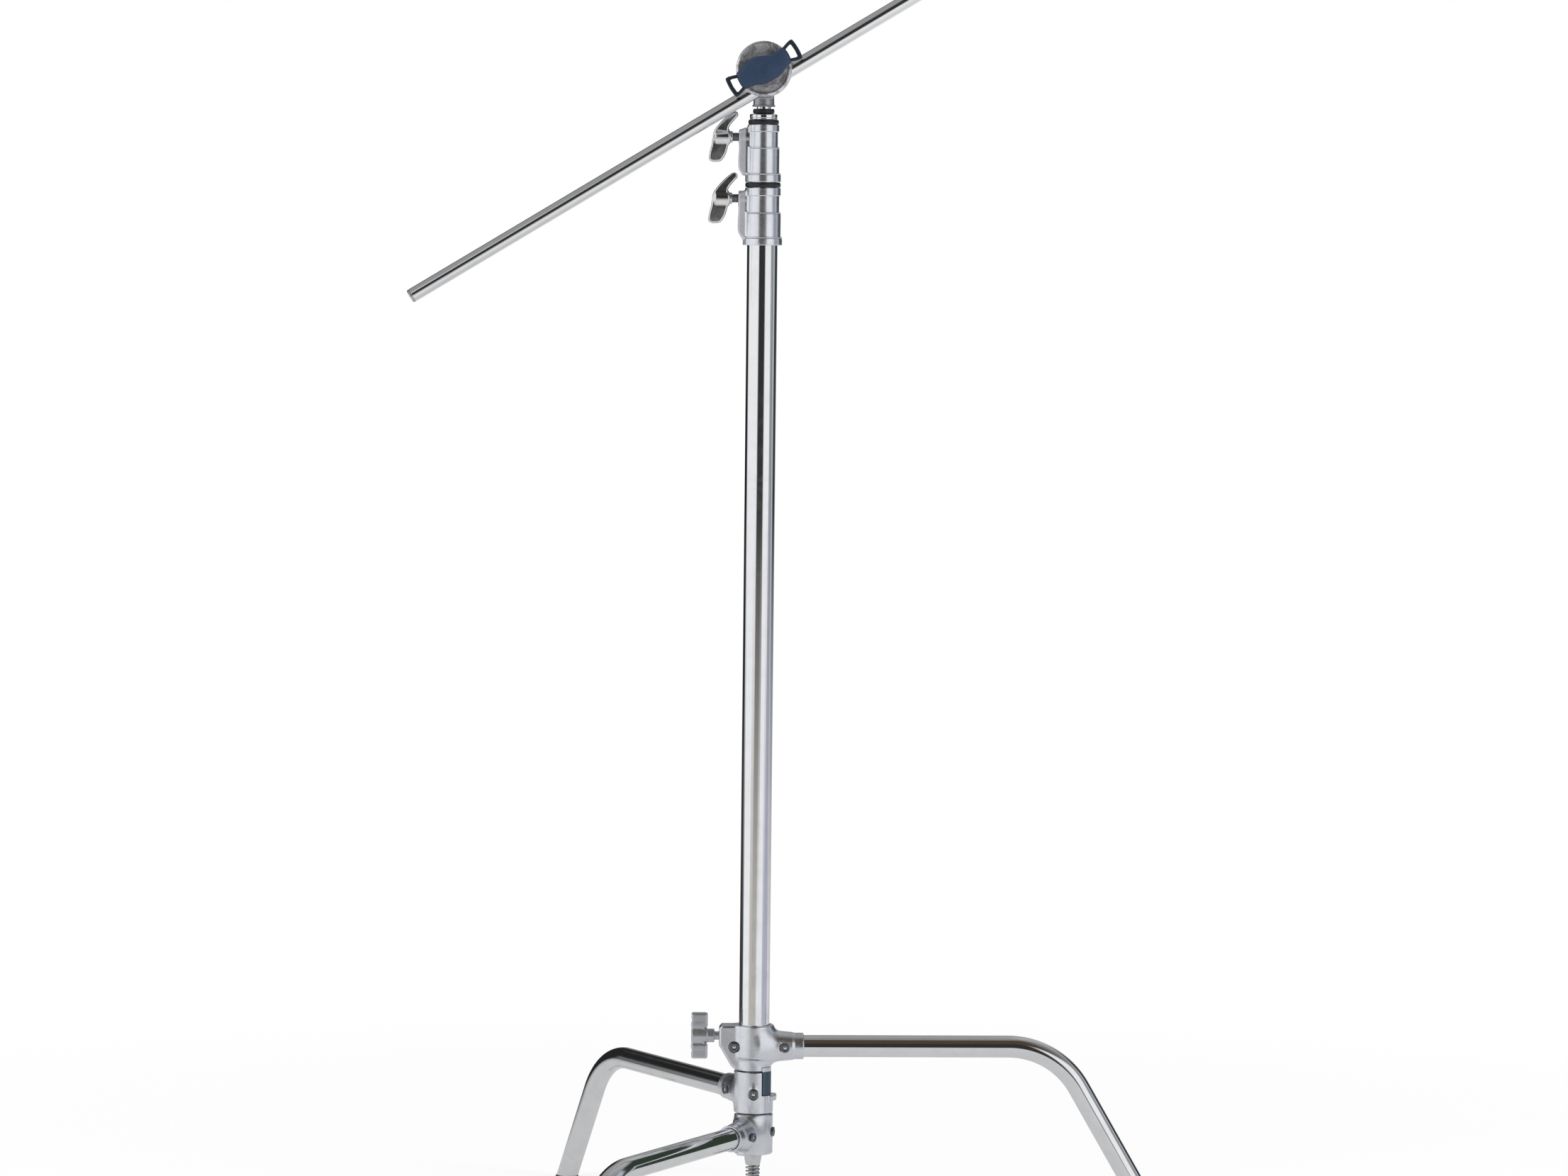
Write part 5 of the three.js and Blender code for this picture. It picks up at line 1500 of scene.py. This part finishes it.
def floor_material(radius):
    """A pale matt floor. Eye, mirror and glass rays see it lit up to white, and it fades out
    towards its rim; it keeps the shadow of the stand."""
    material = bpy.data.materials.new("studio_floor")
    material.use_nodes = True
    tree = material.node_tree
    tree.nodes.clear()
    out = tree.nodes.new("ShaderNodeOutputMaterial")
    matt = tree.nodes.new("ShaderNodeBsdfDiffuse")
    matt.inputs["Color"].default_value = (0.5, 0.5, 0.5, 1)
    glow = tree.nodes.new("ShaderNodeEmission")
    glow.inputs["Color"].default_value = (1, 1, 1, 1)
    rays = tree.nodes.new("ShaderNodeLightPath")
    mirror = maths(tree, "MULTIPLY", rays.outputs["Is Glossy Ray"], 0.45)
    seen = maths(tree, "MAXIMUM", rays.outputs["Is Camera Ray"], maths(
        tree, "MAXIMUM", mirror, rays.outputs["Is Transmission Ray"]))
    wire(tree, maths(tree, "MULTIPLY", seen, 0.62), glow.inputs["Strength"])
    lit = tree.nodes.new("ShaderNodeAddShader")
    wire(tree, matt.outputs[0], lit.inputs[0])
    wire(tree, glow.outputs[0], lit.inputs[1])
    place = tree.nodes.new("ShaderNodeTexCoord")
    length = tree.nodes.new("ShaderNodeVectorMath")
    length.operation = "LENGTH"
    wire(tree, place.outputs["Object"], length.inputs[0])
    fade = remap(tree, length.outputs["Value"], radius * 0.35, radius * 0.95, 0.0, 1.0)
    clear = tree.nodes.new("ShaderNodeBsdfTransparent")
    mix = tree.nodes.new("ShaderNodeMixShader")
    wire(tree, fade, mix.inputs["Fac"])
    wire(tree, lit.outputs[0], mix.inputs[1])
    wire(tree, clear.outputs[0], mix.inputs[2])
    wire(tree, mix.outputs[0], out.inputs["Surface"])
    return material


def horizon(tree, heading, stops):
    """A band of the room round the horizon: colours at headings in degrees, right of the front
    being positive."""
    ramp = tree.nodes.new("ShaderNodeValToRGB")
    wire(tree, heading, ramp.inputs["Fac"])
    elements = ramp.color_ramp.elements
    while len(elements) < len(stops):
        elements.new(0.5)
    for element, (degrees, _) in zip(elements, stops):
        element.position = degrees / 360 + 0.5
    for element, (_, colour) in zip(elements, stops):
        element.color = (*colour, 1) if isinstance(colour, tuple) else (colour, colour, colour, 1)
    return ramp.outputs["Color"]


def studio_world():
    """White to the eye. Mirror rays see a studio in four bands of height: floor, low, level and
    high, each with its soft boxes and dark gaps at headings round the horizon."""
    world = bpy.data.worlds.new("studio")
    bpy.context.scene.world = world
    world.use_nodes = True
    tree = world.node_tree
    tree.nodes.clear()
    out = tree.nodes.new("ShaderNodeOutputWorld")
    sky = tree.nodes.new("ShaderNodeBackground")
    parts = tree.nodes.new("ShaderNodeSeparateXYZ")
    wire(tree, tree.nodes.new("ShaderNodeTexCoord").outputs["Generated"], parts.inputs["Vector"])
    front = maths(tree, "MULTIPLY", parts.outputs["Y"], -1.0)
    turn = maths(tree, "ARCTAN2", parts.outputs["X"], front)
    heading = maths(tree, "ADD", maths(tree, "MULTIPLY", turn, 1 / TURN), 0.5)
    lilac, brown, green = (0.50, 0.50, 0.60), (0.085, 0.062, 0.042), (0.035, 0.05, 0.038)
    sand = (0.56, 0.53, 0.49)
    low = horizon(tree, heading, (
        (-180, 0.4), (-168, 0.05), (-106, 0.05), (-97, 1.0), (-50, 1.0), (-40, sand), (6, sand),
        (14, 0.95), (52, 0.95), (60, lilac), (104, lilac), (112, 0.8), (180, 0.5)))
    level = horizon(tree, heading, (
        (-180, 0.3), (-170, 0.02), (-120, 0.02), (-110, 1.0), (-28, 1.0), (-20, 0.035), (20, 0.035),
        (28, 1.0), (68, 1.0), (74, 0.22), (80, 0.5), (88, 0.16), (96, lilac), (110, lilac),
        (114, green), (150, green), (158, 0.6), (180, 0.3)))
    high = horizon(tree, heading, (
        (-180, 0.36), (-150, 0.34), (-34, 0.36), (-16, brown), (40, brown), (100, 0.3), (150, 0.5),
        (180, 0.36)))
    height = parts.outputs["Z"]

    def blend(low_height, high_height, under, over):
        factor = remap(tree, height, low_height, high_height, 0.0, 1.0)
        return colour_mix(tree, factor, under, over)

    upper = blend(0.5, 0.64, level, blend(0.95, 0.985, high, 0.3))
    room = blend(-0.5, -0.28, 0.92, blend(-0.13, -0.05, low, upper))
    rays = tree.nodes.new("ShaderNodeLightPath").outputs
    eye = maths(tree, "MAXIMUM", rays["Is Camera Ray"], rays["Is Transmission Ray"])
    seen = colour_mix(tree, rays["Is Glossy Ray"], 0.55, room)
    wire(tree, colour_mix(tree, eye, seen, 1.0), sky.inputs["Color"])
    sky.inputs["Strength"].default_value = 1.0
    wire(tree, sky.outputs[0], out.inputs["Surface"])


def placed(right, up, spot):
    """The matrix of something that looks along -Z from a spot, from its right and up."""
    turn = np.column_stack([right, up, np.cross(right, up)])
    return Matrix([[*row, place] for row, place in zip(turn, spot)] + [[0, 0, 0, 1]])


def softbox(name, spot, target, size, watts):
    """An area lamp aimed at a point, not seen in mirrors."""
    lamp = bpy.data.lights.new(name, "AREA")
    lamp.shape = "RECTANGLE"
    lamp.size, lamp.size_y = size
    lamp.energy = watts
    obj = bpy.data.objects.new(name, lamp)
    direction = unit(np.asarray(target) - np.asarray(spot))
    side = unit(np.cross(direction, UP))
    obj.matrix_world = placed(side, np.cross(side, direction), spot)
    obj.visible_glossy = False
    obj.visible_camera = False
    bpy.context.scene.collection.objects.link(obj)


class STAND_OT_stage(bpy.types.Operator):
    """Sets up the floor, the studio light and the camera"""
    bl_idname = "stand.stage"
    bl_label = "Stage"

    def execute(self, context):
        scene = context.scene
        radius = scene.stand_sizes.floor_radius
        out = np.linspace(radius / MM, 0, 12)
        profile = np.column_stack([np.zeros(12), out, np.ones(12), np.zeros(12)])
        points, _, quads, triangles = carried(profile, column_axis(), 96)
        mesh = bpy.data.meshes.new("studio_floor")
        mesh.from_pydata((points * MM).tolist(), [], quads.tolist() + triangles.tolist())
        mesh.materials.append(floor_material(radius))
        mesh.update()
        floor = bpy.data.objects.new("studio_floor", mesh)
        scene.collection.objects.link(floor)
        studio_world()
        softbox("key_box", (-2.6, -3.2, 2.9), (0, 0, 0.8), (1.8, 1.8), 60)
        softbox("fill_box", (3.0, -2.4, 2.2), (0, 0, 0.8), (1.8, 1.8), 40)
        camera = bpy.data.cameras.new("front_camera")
        camera.sensor_fit = "HORIZONTAL"
        camera.sensor_width = CAMERA_SENSOR
        camera.lens = CAMERA_LENS
        camera.clip_start, camera.clip_end = 0.1, 100
        obj = bpy.data.objects.new("front_camera", camera)
        right, up = (unit(row) for row in CAMERA_TURN)
        obj.matrix_world = placed(right, up, np.array(CAMERA_SPOT) + FOOT)
        scene.collection.objects.link(obj)
        scene.camera = obj
        scene.view_settings.view_transform = "Standard"
        return {"FINISHED"}


# ---------------------------------------------------------------- panel and run

OPERATORS = (
    STAND_OT_finishes, STAND_OT_hubs, STAND_OT_legs, STAND_OT_set_screws, STAND_OT_draw_rod,
    STAND_OT_base_knob, STAND_OT_column, STAND_OT_collars, STAND_OT_rings, STAND_OT_top_pin,
    STAND_OT_grip_head, STAND_OT_handle, STAND_OT_arm, STAND_OT_stage,
)


class STAND_PT_panel(bpy.types.Panel):
    """Lists the stand's sizes, colours and makers"""
    bl_idname = "STAND_PT_panel"
    bl_label = "Century Lighting Stand"
    bl_space_type = "VIEW_3D"
    bl_region_type = "UI"
    bl_category = "Stand"

    def draw(self, context):
        for settings in (context.scene.stand_sizes, context.scene.stand_colours):
            box = self.layout.box()
            for label in settings.__annotations__:
                box.prop(settings, label)
        for operator in OPERATORS:
            self.layout.operator(operator.bl_idname)


CLASSES = (StandSizes, StandColours, *OPERATORS, STAND_PT_panel)


def register():
    """Registers the classes and the scene's two settings groups."""
    for cls in CLASSES:
        bpy.utils.register_class(cls)
    bpy.types.Scene.stand_sizes = PointerProperty(type=StandSizes)
    bpy.types.Scene.stand_colours = PointerProperty(type=StandColours)


def unregister():
    """Undoes register."""
    del bpy.types.Scene.stand_colours
    del bpy.types.Scene.stand_sizes
    for cls in reversed(CLASSES):
        bpy.utils.unregister_class(cls)


def main():
    """Builds the whole stand."""
    register()
    for operator in OPERATORS:
        group_name, name = operator.bl_idname.split(".")
        getattr(getattr(bpy.ops, group_name), name)()


if __name__ == "__main__":
    main()
